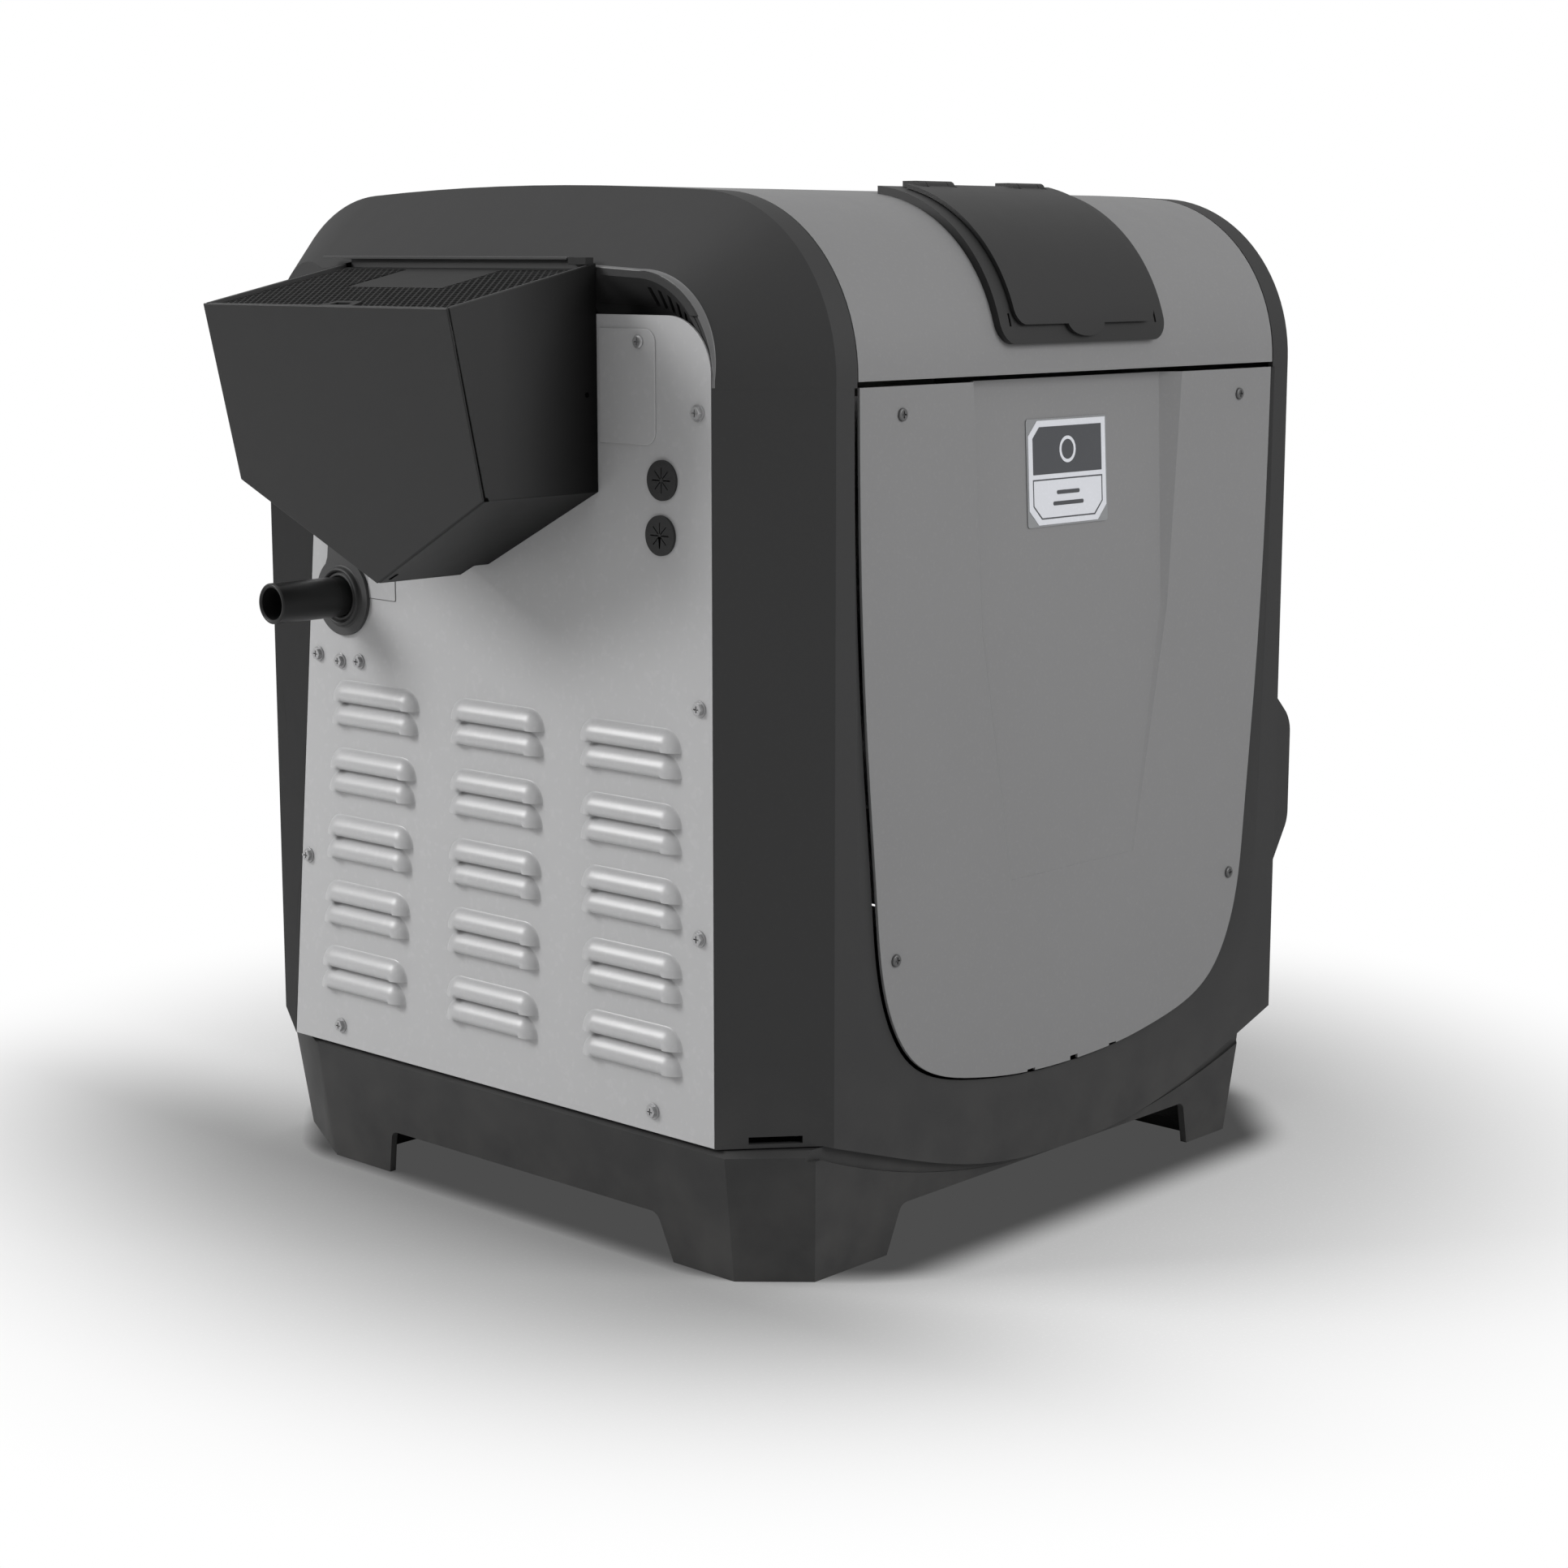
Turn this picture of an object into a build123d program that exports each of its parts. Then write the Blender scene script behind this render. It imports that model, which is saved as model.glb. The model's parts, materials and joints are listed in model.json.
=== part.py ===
"""Gas pool heater: a moulded and sheet-metal cabinet on a plinth, with its working parts inside.

Millimetres, +Z up. X runs from the gas and vent side (-X) to the water side (+X), the badge and the
controls face -Y, and the origin is the centre of the four anchor holes on the ground plane.
"""

from build123d import *
from math import atan2, cos, degrees, radians, sin, sqrt
import os

os.makedirs("parts", exist_ok=True)

# ---------------------------------------------------------------- driving dimensions
HALF_W = 291.0          # centre to the plane of a side panel
HALF_D = 257.0          # centre to the plane of the front panel
TOP_Z = 662.5           # crest of the lid
SKIRT_Z = 87.0          # lower edge of the cabinet's posts
POST_TOP_Z = 543.0      # joint between the posts and the end caps
LID_FOOT_Z = 546.5      # lower edge of the lid
CORNER_R = 110.0        # radius where the front and rear turn into the top
CORNER_Y = 147.0        # centre of that radius from the middle
DOME_R = 2500.0         # slight crown of the top
LID_HALF = 216.5        # half length of the lid between the end caps
CAP_INNER_X = 217.5     # where an end cap meets the lid
EDGE_X = 236.0          # where the front chamfer starts
REAR_EDGE_X = 251.0     # where the rear chamfer starts
CHAMFER = 47.5          # front and top chamfer, measured on the side plane
MOULD_WALL = 4.0        # moulded plastic wall
SHEET = 1.5             # sheet metal
SHEET_GAP = 0.5         # side and rear panels inside their openings
SHEET_TOP_Z = 585.0     # top edge of a side panel
SCREW_R = 2.1
LOUVRE_LENGTH = 86.0
LOUVRE_WIDTH = 13.0
LOUVRE_RISE = 5.5

BASE_TOP_Z = 86.0
BASE_ARCH_Z = 32.0
BASE_BEVEL = 3.5        # shadow line under the cabinet
DEEP_CUT_X = 48.0       # how much further the front right corner of the base is cut off, along the front
DEEP_CUT_Y = 36.0       # and along the side
ANCHOR_X = 430.0        # anchor hole spacings
ANCHOR_Y = 400.0
ANCHOR_R = 5.5

PANEL_TOP_HALF = 216.0  # half width of the front panel at its top edge
PANEL_LOW_Z = 92.0      # lowest point of the front panel
SCOOP_DEPTH = 3.0       # dished border of the surround beside the panel

PORT_Y = (-88.0, 32.0)  # inlet and outlet centres
PORT_Z = 240.0
PORT_R = 30.15          # 2 in pipe socket
PORT_END_X = 345.0
BYPASS_X = 218.0
BYPASS_R = 9.0
BYPASS_LOW_Z = 205.0
HX_Y = -28.0            # axis of the burner and of the ring of tubes
HX_Z = 345.0
HX_LEFT = -90.0
HX_RIGHT = 196.0
TUBE_COUNT = 9
TUBE_RING_R = 82.0
TUBE_R = 11.0

GAS_Y = 128.8
GAS_Z = 397.0
GAS_R = 13.35           # 3/4 in pipe, over its threaded end
GAS_BODY_R = 13.0
GAS_BORE_R = 10.4
GAS_END_X = -352.0
GAS_THREAD_X = -304.0   # where the threaded end stops

VENT_Y = 0.0
VENT_Z = 515.0
VENT_R = 50.8           # 4 in flue
HOOD_REACH = 408.9      # front upper edge of the exhaust hood

RELIEF_Y = 120.0        # pressure relief valve
RELIEF_Z = 350.0

BLOWER_Z = 178.0
BLOWER_LEFT = -200.0
BLOWER_RIGHT = -140.0

CONSOLE_TILT = 50.0     # slope of the keypad under its cover
HINGE_Y = -171.0
HINGE_Z = 661.5
HINGE_PIN_R = 1.5
BEZEL_BACK_Y = -158.0

DOME_Z = TOP_Z - DOME_R
CORNER_Z = DOME_Z + sqrt((DOME_R - CORNER_R) ** 2 - CORNER_Y**2)


left_face = Plane(origin=(-HALF_W, 0, 0), x_dir=(0, -1, 0), z_dir=(-1, 0, 0))
right_face = Plane(origin=(HALF_W, 0, 0), x_dir=(0, 1, 0), z_dir=(1, 0, 0))
front_face = Plane(origin=(0, -HALF_D, 0), x_dir=(1, 0, 0), z_dir=(0, -1, 0))
rear_face = Plane(origin=(0, HALF_D, 0), x_dir=(-1, 0, 0), z_dir=(0, 1, 0))
post_screws = [(144.2, 101.4), (174.2, 216), (157.5, 356.1)]


def crown(x, inset, foot):
    """Cabinet top seen from the side at x, set in by inset and cut off level at foot."""
    lean = degrees(atan2(CORNER_Y, CORNER_Z - DOME_Z))
    edge = HALF_D - inset
    with BuildSketch(Plane.YZ.offset(x)) as outline:
        with BuildLine():
            front = CenterArc((-CORNER_Y, CORNER_Z), CORNER_R - inset, 180, lean - 90)
            CenterArc((0, DOME_Z), DOME_R - inset, 90 + lean, -2 * lean)
            rear = CenterArc((CORNER_Y, CORNER_Z), CORNER_R - inset, 90 - lean, lean - 90)
            Polyline(rear @ 1, (edge, foot), (-edge, foot), front @ 0)
        make_face()
    return outline.sketch


def rear_line(z):
    """Y of the slanting rear edge of a side panel at height z."""
    return 203.0 - 0.0978 * z


def rear_wedge(inset):
    """Tapering wedge outside the left side's rear chamfer, moved in by inset."""
    with BuildPart() as wedge:
        for z in (-20.0, 700.0):
            start = Vector(-HALF_W + inset, rear_line(z))
            end = Vector(-REAR_EDGE_X + inset, HALF_D)
            reach = (end - start) * 0.6
            with BuildSketch(Plane.XY.offset(z)):
                with BuildLine():
                    Polyline(start - reach, end + reach, (-480, 420), start - reach)
                make_face()
        loft(ruled=True)
    return wedge.part


def side_opening():
    """Pocket that the left side panel lies in, cut a little past its sheet."""
    front = -HALF_D + CHAMFER
    with BuildPart() as pocket:
        with BuildSketch(Plane.YZ.offset(-HALF_W - 1)):
            with BuildLine():
                Polyline(
                    (front, SHEET_TOP_Z), (front, SKIRT_Z - 1), (rear_line(SKIRT_Z - 1), SKIRT_Z - 1),
                    (rear_line(SHEET_TOP_Z), SHEET_TOP_Z), close=True,
                )
            make_face()
        extrude(amount=1 + SHEET)
    return pocket.part


def cabinet_block(inset, low, high):
    """Upright block of the cabinet's plan with its two front chamfers, set in by inset."""
    side = HALF_W - inset
    face = HALF_D - inset
    start = CHAMFER + inset * 0.45
    edge = EDGE_X - inset * 0.45
    with BuildPart() as block:
        with BuildSketch(Plane.XY.offset(low)):
            with BuildLine():
                Polyline(
                    (-side, face), (-side, -HALF_D + start), (-edge, -face),
                    (edge, -face), (side, -HALF_D + start), (side, face), close=True,
                )
            make_face()
        extrude(amount=high - low)
    return block.part


panel_edge = [(216, 543), (213.5, 430), (206, 315), (197.5, 228), (188, 168), (160, 122.5), (102, 101), (0, 92)]
scoop_edge = [(220, 543), (219, 430), (216.5, 315), (214, 228), (208, 160), (182, 108), (115, 85), (0, 79)]


def shield(depth, shape, grow=0.0):
    """Shield outline through the points of its right half, at a depth behind the front and larger by grow."""
    wide = 1 + grow / PANEL_TOP_HALF
    tall = 1 + grow / (POST_TOP_Z - PANEL_LOW_Z)
    right = [(x * wide, POST_TOP_Z - (POST_TOP_Z - z) * tall) for x, z in shape]
    left = [(-x, z) for x, z in right]
    with BuildSketch(Plane.XZ.offset(HALF_D - depth)) as outline:
        with BuildLine():
            Spline(right, tangents=[(-0.01, -1), (-1, 0)])
            Spline(left, tangents=[(0.01, -1), (1, 0)])
            Line(left[0], right[0])
        make_face()
    return outline.sketch


# ---------------------------------------------------------------- base
def plinth(inset, top_z):
    """Tapering block of the plinth with its corners cut off, set in by inset."""
    slim = inset * 0.45
    levels = [(0.0, 276.0, 243.0, 248.0, 211.0, 236.0, 172.0), (top_z, 290.0, 251.0, 255.5, 216.5, 246.0, 172.0)]
    if not inset:
        levels[1] = (top_z - BASE_BEVEL, 290.0, 251.0, 255.5, 216.5, 246.0, 172.0)
        levels.append((top_z, 286.0, 248.5, 251.5, 215.0, 243.5, 170.5))
    with BuildPart() as block:
        for z, side, front_edge, front, corner, rear_edge, rear_corner in levels:
            with BuildSketch(Plane.XY.offset(z)):
                with BuildLine():
                    Polyline(
                        (-side + inset, -corner + slim), (-front_edge + slim, -front + inset),
                        (front_edge - DEEP_CUT_X - slim, -front + inset), (side - inset, DEEP_CUT_Y - corner + slim),
                        (side - inset, rear_corner - slim), (rear_edge - slim, front - inset),
                        (-rear_edge + slim, front - inset), (-side + inset, rear_corner - slim), close=True,
                    )
                make_face()
        loft(ruled=True)
    return block.part


plinth_outside = plinth(0, BASE_TOP_Z)
plinth_inside = plinth(5, BASE_TOP_Z - 6)
foot_pads = [(sx * ANCHOR_X / 2, sy * ANCHOR_Y / 2) for sx in (-1, 1) for sy in (-1, 1)]

with BuildPart() as pads:
    with Locations(*[(x, y, 4) for x, y in foot_pads]):
        Box(90, 80, 8)
    add(plinth_outside, mode=Mode.INTERSECT)

with BuildPart() as base:
    add(plinth_outside)
    add(plinth_inside, mode=Mode.SUBTRACT)
    add(pads.part)
    with BuildSketch(Plane.XZ.offset(-320)) as front_arch:
        with BuildLine():
            Polyline((-176, -1), (-165, BASE_ARCH_Z), (140, BASE_ARCH_Z), (150, -1), close=True)
        make_face()
        fillet(front_arch.vertices().group_by(Axis.Y)[-1], 7)
    extrude(amount=640, mode=Mode.SUBTRACT)
    with BuildSketch(Plane.YZ.offset(-320)) as side_arch:
        with BuildLine():
            Polyline((-159, -1), (-150, BASE_ARCH_Z), (105, BASE_ARCH_Z), (115, -1), close=True)
        make_face()
        fillet(side_arch.vertices().group_by(Axis.Y)[-1], 7)
    extrude(amount=640, mode=Mode.SUBTRACT)
    with Locations(*[(x, y, 8) for x, y in foot_pads]):
        Hole(ANCHOR_R, depth=9)
    with BuildSketch(Plane.XZ.offset(HALF_D + 5)):
        with BuildLine():
            Polyline((246, 80), (262, 80), (262, 90), (-262, 90), (-262, 80), (-246, 80))
            ThreePointArc((-246, 80), (0, 31.5), (246, 80))
        make_face()
    extrude(amount=-11, mode=Mode.SUBTRACT)
base.part.label = "base"
export_step(base.part, "parts/base.step")

# ---------------------------------------------------------------- front surround
with BuildPart() as front_surround:
    add(cabinet_block(0, 30, POST_TOP_Z))
    add(cabinet_block(MOULD_WALL, 29, POST_TOP_Z + 1), mode=Mode.SUBTRACT)
    with Locations((0, 60, 300)):
        Box(700, 539, 700, mode=Mode.SUBTRACT)
    with BuildSketch(Plane.XZ.offset(HALF_D + 1)):
        with BuildLine():
            Polyline((-241, SKIRT_Z), (-300, SKIRT_Z), (-300, 20), (300, 20), (300, SKIRT_Z), (241, SKIRT_Z))
            Spline((241, SKIRT_Z), (190, 70), (90, 42), (0, 35), (-90, 42), (-190, 70), (-241, SKIRT_Z))
        make_face()
    extrude(amount=-60, mode=Mode.SUBTRACT)
    loft([shield(-0.01, scoop_edge), shield(SCOOP_DEPTH, panel_edge, 1.0)], mode=Mode.SUBTRACT)
    extrude(shield(SCOOP_DEPTH - 0.5, panel_edge, 1.0), amount=-MOULD_WALL, mode=Mode.SUBTRACT)
    for side in (-1, 1):
        with Locations(Pos(side * 263, -233.7, SKIRT_Z + 4.8) * Rot(0, 0, side * 40.8)):
            Box(33, 14, 4.6, mode=Mode.SUBTRACT)
front_surround.part.label = "front_surround"
export_step(front_surround.part, "parts/front_surround.step")


# ---------------------------------------------------------------- rear posts
def rear_block(inset, low, high):
    """Rear corner of the left side inside its chamfer, set in by inset."""
    width = HALF_W - CAP_INNER_X
    depth = HALF_D - inset - 90
    with BuildPart() as block:
        with Locations((-CAP_INNER_X - width / 2, 90 + depth / 2, (low + high) / 2)):
            Box(width, depth, high - low)
        add(rear_wedge(inset), mode=Mode.SUBTRACT)
    return block.part


post_outside = rear_block(0, SKIRT_Z, POST_TOP_Z)
post_inside = rear_block(MOULD_WALL, SKIRT_Z - 5, POST_TOP_Z + 5)

with BuildPart() as left_post:
    add(post_outside)
    add(post_inside, mode=Mode.SUBTRACT)
    add(side_opening(), mode=Mode.SUBTRACT)
    with Locations(*[left_face * Pos(-y, z, 0) for y, z in post_screws]):
        Hole(SCREW_R + 0.1, depth=12)

with BuildPart() as rear_posts:
    add(left_post.part)
    mirror(left_post.part, about=Plane.YZ)
rear_posts.part.label = "rear_posts"
export_step(rear_posts.part, "parts/rear_posts.step")


# ---------------------------------------------------------------- end caps
def cap_block(inset, foot):
    """Left end cap's outer form: the crown, then its chamfer down to the side plane."""
    with BuildPart() as block:
        extrude(crown(-EDGE_X, inset, foot), amount=EDGE_X - CAP_INNER_X)
        loft([crown(-EDGE_X, inset, foot), crown(-HALF_W, CHAMFER + inset, foot)], ruled=True)
        add(rear_wedge(inset), mode=Mode.SUBTRACT)
    return block.part


def cap_collar(inset):
    """Splayed throat behind the end cap's opening."""
    with BuildPart() as block:
        mouth = crown(-HALF_W, CHAMFER + inset, POST_TOP_Z)
        loft([mouth, crown(-HALF_W + 20, CHAMFER + inset + 22, POST_TOP_Z)], ruled=True)
    return block.part


cap_outside = cap_block(0, POST_TOP_Z)
cap_inside = cap_block(MOULD_WALL, POST_TOP_Z - 12)
collar_outside = cap_collar(MOULD_WALL - 2.5)
collar_inside = cap_collar(MOULD_WALL)

with BuildPart() as collar:
    add(collar_outside)
    add(collar_inside, mode=Mode.SUBTRACT)
    with Locations((-HALF_W, 250, 600)):
        Box(60, 260, 200, mode=Mode.SUBTRACT)
    for angle in range(98, 172, 9):
        turn = radians(angle)
        place = Plane(
            origin=(-HALF_W + 10, -CORNER_Y + 52 * cos(turn), CORNER_Z + 52 * sin(turn)),
            x_dir=(1, 0, 0), z_dir=(0, -sin(turn), cos(turn)),
        )
        with Locations(place):
            Box(11, 34, 3.2, mode=Mode.SUBTRACT)

with BuildPart() as end_cap_left:
    add(cap_outside)
    add(cap_inside, mode=Mode.SUBTRACT)
    add(collar.part)
    add(side_opening(), mode=Mode.SUBTRACT)
end_cap_left.part.label = "end_cap_left"
export_step(end_cap_left.part, "parts/end_cap_left.step")

with BuildPart() as end_cap_right:
    mirror(end_cap_left.part, about=Plane.YZ)
end_cap_right.part.label = "end_cap_right"
export_step(end_cap_right.part, "parts/end_cap_right.step")

# ---------------------------------------------------------------- lid
with BuildPart() as lid:
    extrude(crown(-LID_HALF, 0, LID_FOOT_Z), amount=2 * LID_HALF)
    extrude(crown(-LID_HALF, 3, LID_FOOT_Z - 10), amount=2 * LID_HALF, mode=Mode.SUBTRACT)
    with Locations((0, -215, 612)):
        Box(132, 120, 56, mode=Mode.SUBTRACT)
lid.part.label = "lid"
export_step(lid.part, "parts/lid.step")


# ---------------------------------------------------------------- front panel
def recess(extra):
    """Tapering recess down the middle of the front panel, larger by extra all round."""
    steps = [(POST_TOP_Z, 110, 97.5, 10.5), (388, 98.5, 94.5, 2.8), (225, 66, 65, 0.3)]
    with BuildPart() as form:
        for z, outer, inner, depth in steps:
            with BuildSketch(Plane.XY.offset(z)):
                with BuildLine():
                    Polyline(
                        (-outer - extra, -HALF_D), (-inner - extra * 0.4, -HALF_D + depth + extra),
                        (inner + extra * 0.4, -HALF_D + depth + extra), (outer + extra, -HALF_D), close=True,
                    )
                make_face()
        loft(ruled=True)
    return form.part


recess_back = recess(2.0)
recess_front = recess(0)
front_screw_spots = [(-177, 526), (177, 526), (-179.5, 192.5), (179.5, 192.5)]

with BuildPart() as front_panel:
    extrude(shield(0, panel_edge, -0.7), amount=-2)
    add(recess_back)
    add(recess_front, mode=Mode.SUBTRACT)
    with Locations(*[(x, -HALF_D, PANEL_LOW_Z + 1) for x in (-42, 4, 47)]):
        Box(8, 10, 5, mode=Mode.SUBTRACT)
    with Locations(*[Plane.XZ.offset(HALF_D) * Pos(x, z, 0) for x, z in front_screw_spots]):
        Hole(2.3, depth=6)
front_panel.part.label = "front_panel"
export_step(front_panel.part, "parts/front_panel.step")


# ---------------------------------------------------------------- louvred side panels
def louvre():
    """One pressed louvre about the origin: long along X, standing out along +Z, open at -Y."""
    with BuildPart() as form:
        with BuildSketch():
            SlotOverall(LOUVRE_LENGTH, LOUVRE_WIDTH)
        extrude(amount=LOUVRE_RISE, taper=32)
        with BuildSketch(Plane.XY.offset(-2)):
            SlotOverall(LOUVRE_LENGTH - 2, LOUVRE_WIDTH - 2)
        extrude(amount=2, mode=Mode.SUBTRACT)
        with BuildSketch():
            SlotOverall(LOUVRE_LENGTH - 2.6, LOUVRE_WIDTH - 2.6)
        extrude(amount=LOUVRE_RISE - 1.2, taper=32, mode=Mode.SUBTRACT)
        with Locations((0, -LOUVRE_WIDTH / 2, LOUVRE_RISE / 2)):
            Box(LOUVRE_LENGTH - 8, 4.4, LOUVRE_RISE + 2, mode=Mode.SUBTRACT)
    return form.part


def louvre_slot():
    """Opening in the sheet behind one louvre."""
    with BuildPart() as slot:
        with BuildSketch(Plane.XY.offset(-5)):
            SlotOverall(LOUVRE_LENGTH - 3, LOUVRE_WIDTH - 3)
        extrude(amount=10)
    return slot.part


def side_sheet():
    """Left side panel's flat sheet inside the posts and the end cap."""
    front = -HALF_D + CHAMFER + SHEET_GAP
    low = SKIRT_Z + SHEET_GAP
    with BuildPart() as sheet:
        with BuildSketch(Plane.YZ.offset(-HALF_W)):
            with BuildLine():
                Polyline(
                    (front, SHEET_TOP_Z), (front, low), (rear_line(low) - SHEET_GAP, low),
                    (rear_line(SHEET_TOP_Z) - SHEET_GAP, SHEET_TOP_Z), close=True,
                )
            make_face()
        extrude(amount=SHEET)
        fillet(sheet.edges().filter_by(Axis.X).group_by(Axis.Z)[-1].sort_by(Axis.Y)[0], 35)
    return sheet.part


pressed_louvre = louvre()
pressed_slot = louvre_slot()
louvre_spots = []
for tip_y, lean in ((56.1, 0.101), (-62.9, 0.052), (-182.6, 0.004)):
    for row in range(5):
        for drop in (0, 15.5):
            fall = row * 46.0 + drop
            louvre_spots.append((-(tip_y + lean * fall + LOUVRE_LENGTH / 2), 333.5 - fall))
left_screws = [(-198.5, 529.3), (-198.6, 355.4), (-197.6, 216), (-157.1, 100.9), (134.6, 353.3), (115, 354.6)]
left_screws += post_screws
grommet_spots = [(-169.5, 488.8), (-167.8, 456.1)]

with BuildPart() as louvre_panel:
    add(side_sheet())
    with Locations(*[left_face * Pos(x, z, 0) for x, z in louvre_spots]):
        add(pressed_slot, mode=Mode.SUBTRACT)
    with Locations(*[left_face * Pos(x, z, 0) for x, z in louvre_spots]):
        add(pressed_louvre)
    with Locations(*[left_face * Pos(-y, z, 0) for y, z in left_screws]):
        Hole(SCREW_R + 0.2, depth=8)
    with Locations(*[left_face * Pos(-y, z, 0) for y, z in grommet_spots]):
        Hole(10.5, depth=8)
    with Locations(left_face * Pos(-GAS_Y, GAS_Z, 0)):
        Hole(21, depth=8)
    with Locations(left_face * Pos(150.8, 569.4, 0)):
        Hole(SCREW_R + 0.2, depth=8)
    with Locations(left_face * Pos(-VENT_Y, VENT_Z, 0)):
        Hole(VENT_R + 1.5, depth=8)
louvre_panel.part.label = "louvre_panel"
export_step(louvre_panel.part, "parts/louvre_panel.step")

right_screws = [(-198.5, 529.3), (-198.5, 400), (-157.1, 100.9), (30, 100.9), (130, 560)] + post_screws
right_louvres = [(column, 500 - row * 31 - drop) for column in (-60, 50) for row in range(3) for drop in (0, 15.5)]

with BuildPart() as right_panel:
    mirror(side_sheet(), about=Plane.YZ)
    with Locations(*[right_face * Pos(y, z, 0) for y, z in right_louvres]):
        add(pressed_slot, mode=Mode.SUBTRACT)
    with Locations(*[right_face * Pos(y, z, 0) for y, z in right_louvres]):
        add(pressed_louvre)
    with Locations((HALF_W, (PORT_Y[0] + PORT_Y[1]) / 2, PORT_Z)):
        Box(20, 210, 92, mode=Mode.SUBTRACT)
    with Locations(*[right_face * Pos(y, z, 0) for y, z in right_screws]):
        Hole(SCREW_R + 0.2, depth=8)
    with Locations(right_face * Pos(RELIEF_Y, RELIEF_Z, 0)):
        Hole(14, depth=8)
right_panel.part.label = "right_panel"
export_step(right_panel.part, "parts/right_panel.step")

# ---------------------------------------------------------------- rear panel
rear_screws = [(sx * 200, z) for sx in (-1, 1) for z in (105, 315, 525)]
rear_louvres = [(x, 300 - row * 31 - drop) for x in (-120, 0, 120) for row in range(4) for drop in (0, 15.5)]

with BuildPart() as rear_panel:
    with BuildSketch(Plane.XZ.offset(-HALF_D)):
        with BuildLine():
            low = SKIRT_Z + SHEET_GAP
            Polyline((-217, low), (217, low), (217, 545.5), (-217, 545.5), close=True)
        make_face()
    extrude(amount=SHEET)
    with Locations(*[rear_face * Pos(x, z, 0) for x, z in rear_louvres]):
        add(pressed_slot, mode=Mode.SUBTRACT)
    with Locations(*[rear_face * Pos(x, z, 0) for x, z in rear_louvres]):
        add(pressed_louvre)
    with Locations(*[rear_face * Pos(x, z, 0) for x, z in rear_screws]):
        Hole(SCREW_R + 0.2, depth=8)
rear_panel.part.label = "rear_panel"
export_step(rear_panel.part, "parts/rear_panel.step")


# ---------------------------------------------------------------- screws
def sheet_screw():
    """Hex flange screw about the origin: head on +Z, shank down -Z."""
    with BuildPart() as screw:
        Cylinder(5.1, 0.9, align=(Align.CENTER, Align.CENTER, Align.MIN))
        with BuildSketch(Plane.XY.offset(0.9)):
            RegularPolygon(3.9, 6)
        extrude(amount=2.4)
        with BuildSketch(Plane.XY.offset(3.3)):
            Rectangle(4.2, 0.9)
            Rectangle(0.9, 4.2)
        extrude(amount=-1.4, mode=Mode.SUBTRACT)
        Cylinder(SCREW_R, 7, align=(Align.CENTER, Align.CENTER, Align.MAX))
    return screw.part


def pan_screw():
    """Low round-headed screw for the moulded front: head on +Z, shank down -Z."""
    with BuildPart() as screw:
        Cylinder(4.0, 1.8, align=(Align.CENTER, Align.CENTER, Align.MIN))
        fillet(screw.edges().group_by(Axis.Z)[-1], 1.2)
        with BuildSketch(Plane.XY.offset(1.8)):
            Rectangle(4.4, 1.0)
            Rectangle(1.0, 4.4)
        extrude(amount=-1.2, mode=Mode.SUBTRACT)
        Cylinder(SCREW_R, 7, align=(Align.CENTER, Align.CENTER, Align.MAX))
    return screw.part


hex_screw = sheet_screw()
low_screw = pan_screw()

with BuildPart() as cabinet_screws:
    with Locations(*[left_face * Pos(-y, z, 0) for y, z in left_screws]):
        add(hex_screw)
    with Locations(*[right_face * Pos(y, z, 0) for y, z in right_screws]):
        add(hex_screw)
    with Locations(*[rear_face * Pos(x, z, 0) for x, z in rear_screws]):
        add(hex_screw)
    with Locations(*[front_face * Pos(x, z, 0) for x, z in front_screw_spots]):
        add(low_screw)
    with Locations(left_face * Pos(150.8, 569.4, 1)):
        add(low_screw)
cabinet_screws.part.label = "cabinet_screws"
export_step(cabinet_screws.part, "parts/cabinet_screws.step")

# ---------------------------------------------------------------- access plate and grommets
with BuildPart() as access_plate:
    with BuildSketch(Plane.YZ.offset(-HALF_W - 1.0)):
        with BuildLine():
            Polyline((-164, 509), (-164, 577), (-117, 577), (-117, 509), close=True)
        make_face()
    extrude(amount=1.0)
    fillet(access_plate.edges().filter_by(Axis.X).sort_by(Axis.Y)[:2], 8)
    with Locations(left_face * Pos(150.8, 569.4, 0)):
        Hole(SCREW_R + 0.2, depth=8)
access_plate.part.label = "access_plate"
export_step(access_plate.part, "parts/access_plate.step")

with BuildPart() as wiring_grommets:
    for y, z in grommet_spots:
        with Locations(left_face * Pos(-y, z, 0)):
            Cylinder(12, 1.8, align=(Align.CENTER, Align.CENTER, Align.MIN))
            Cylinder(10.3, 1.5, align=(Align.CENTER, Align.CENTER, Align.MAX))
            with PolarLocations(4.4, 8):
                Box(6.4, 0.7, 8, mode=Mode.SUBTRACT)
wiring_grommets.part.label = "wiring_grommets"
export_step(wiring_grommets.part, "parts/wiring_grommets.step")

with BuildPart() as gas_grommet:
    with BuildSketch(Plane.YZ.offset(-HALF_W)):
        with Locations((GAS_Y, GAS_Z)):
            Circle(26)
        with Locations((GAS_Y - 1, GAS_Z + 24)):
            RectangleRounded(28, 32, 6)
    extrude(amount=-2.8)
    fillet(gas_grommet.edges().group_by(Axis.X)[0], 1.2)
    with BuildSketch(Plane.YZ.offset(-HALF_W - 2.8)):
        with Locations((GAS_Y, GAS_Z)):
            Circle(19.5)
    extrude(amount=-3.4, taper=20)
    with Locations(left_face * Pos(-GAS_Y, GAS_Z, 0)):
        Hole(GAS_BODY_R, depth=30)
gas_grommet.part.label = "gas_grommet"
export_step(gas_grommet.part, "parts/gas_grommet.step")


# ---------------------------------------------------------------- exhaust hood
hood_pitch = Plane(origin=(-HOOD_REACH, 0, 590), x_dir=(0, 1, 0), z_dir=(-0.2075, 0, 0.9782))


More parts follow.
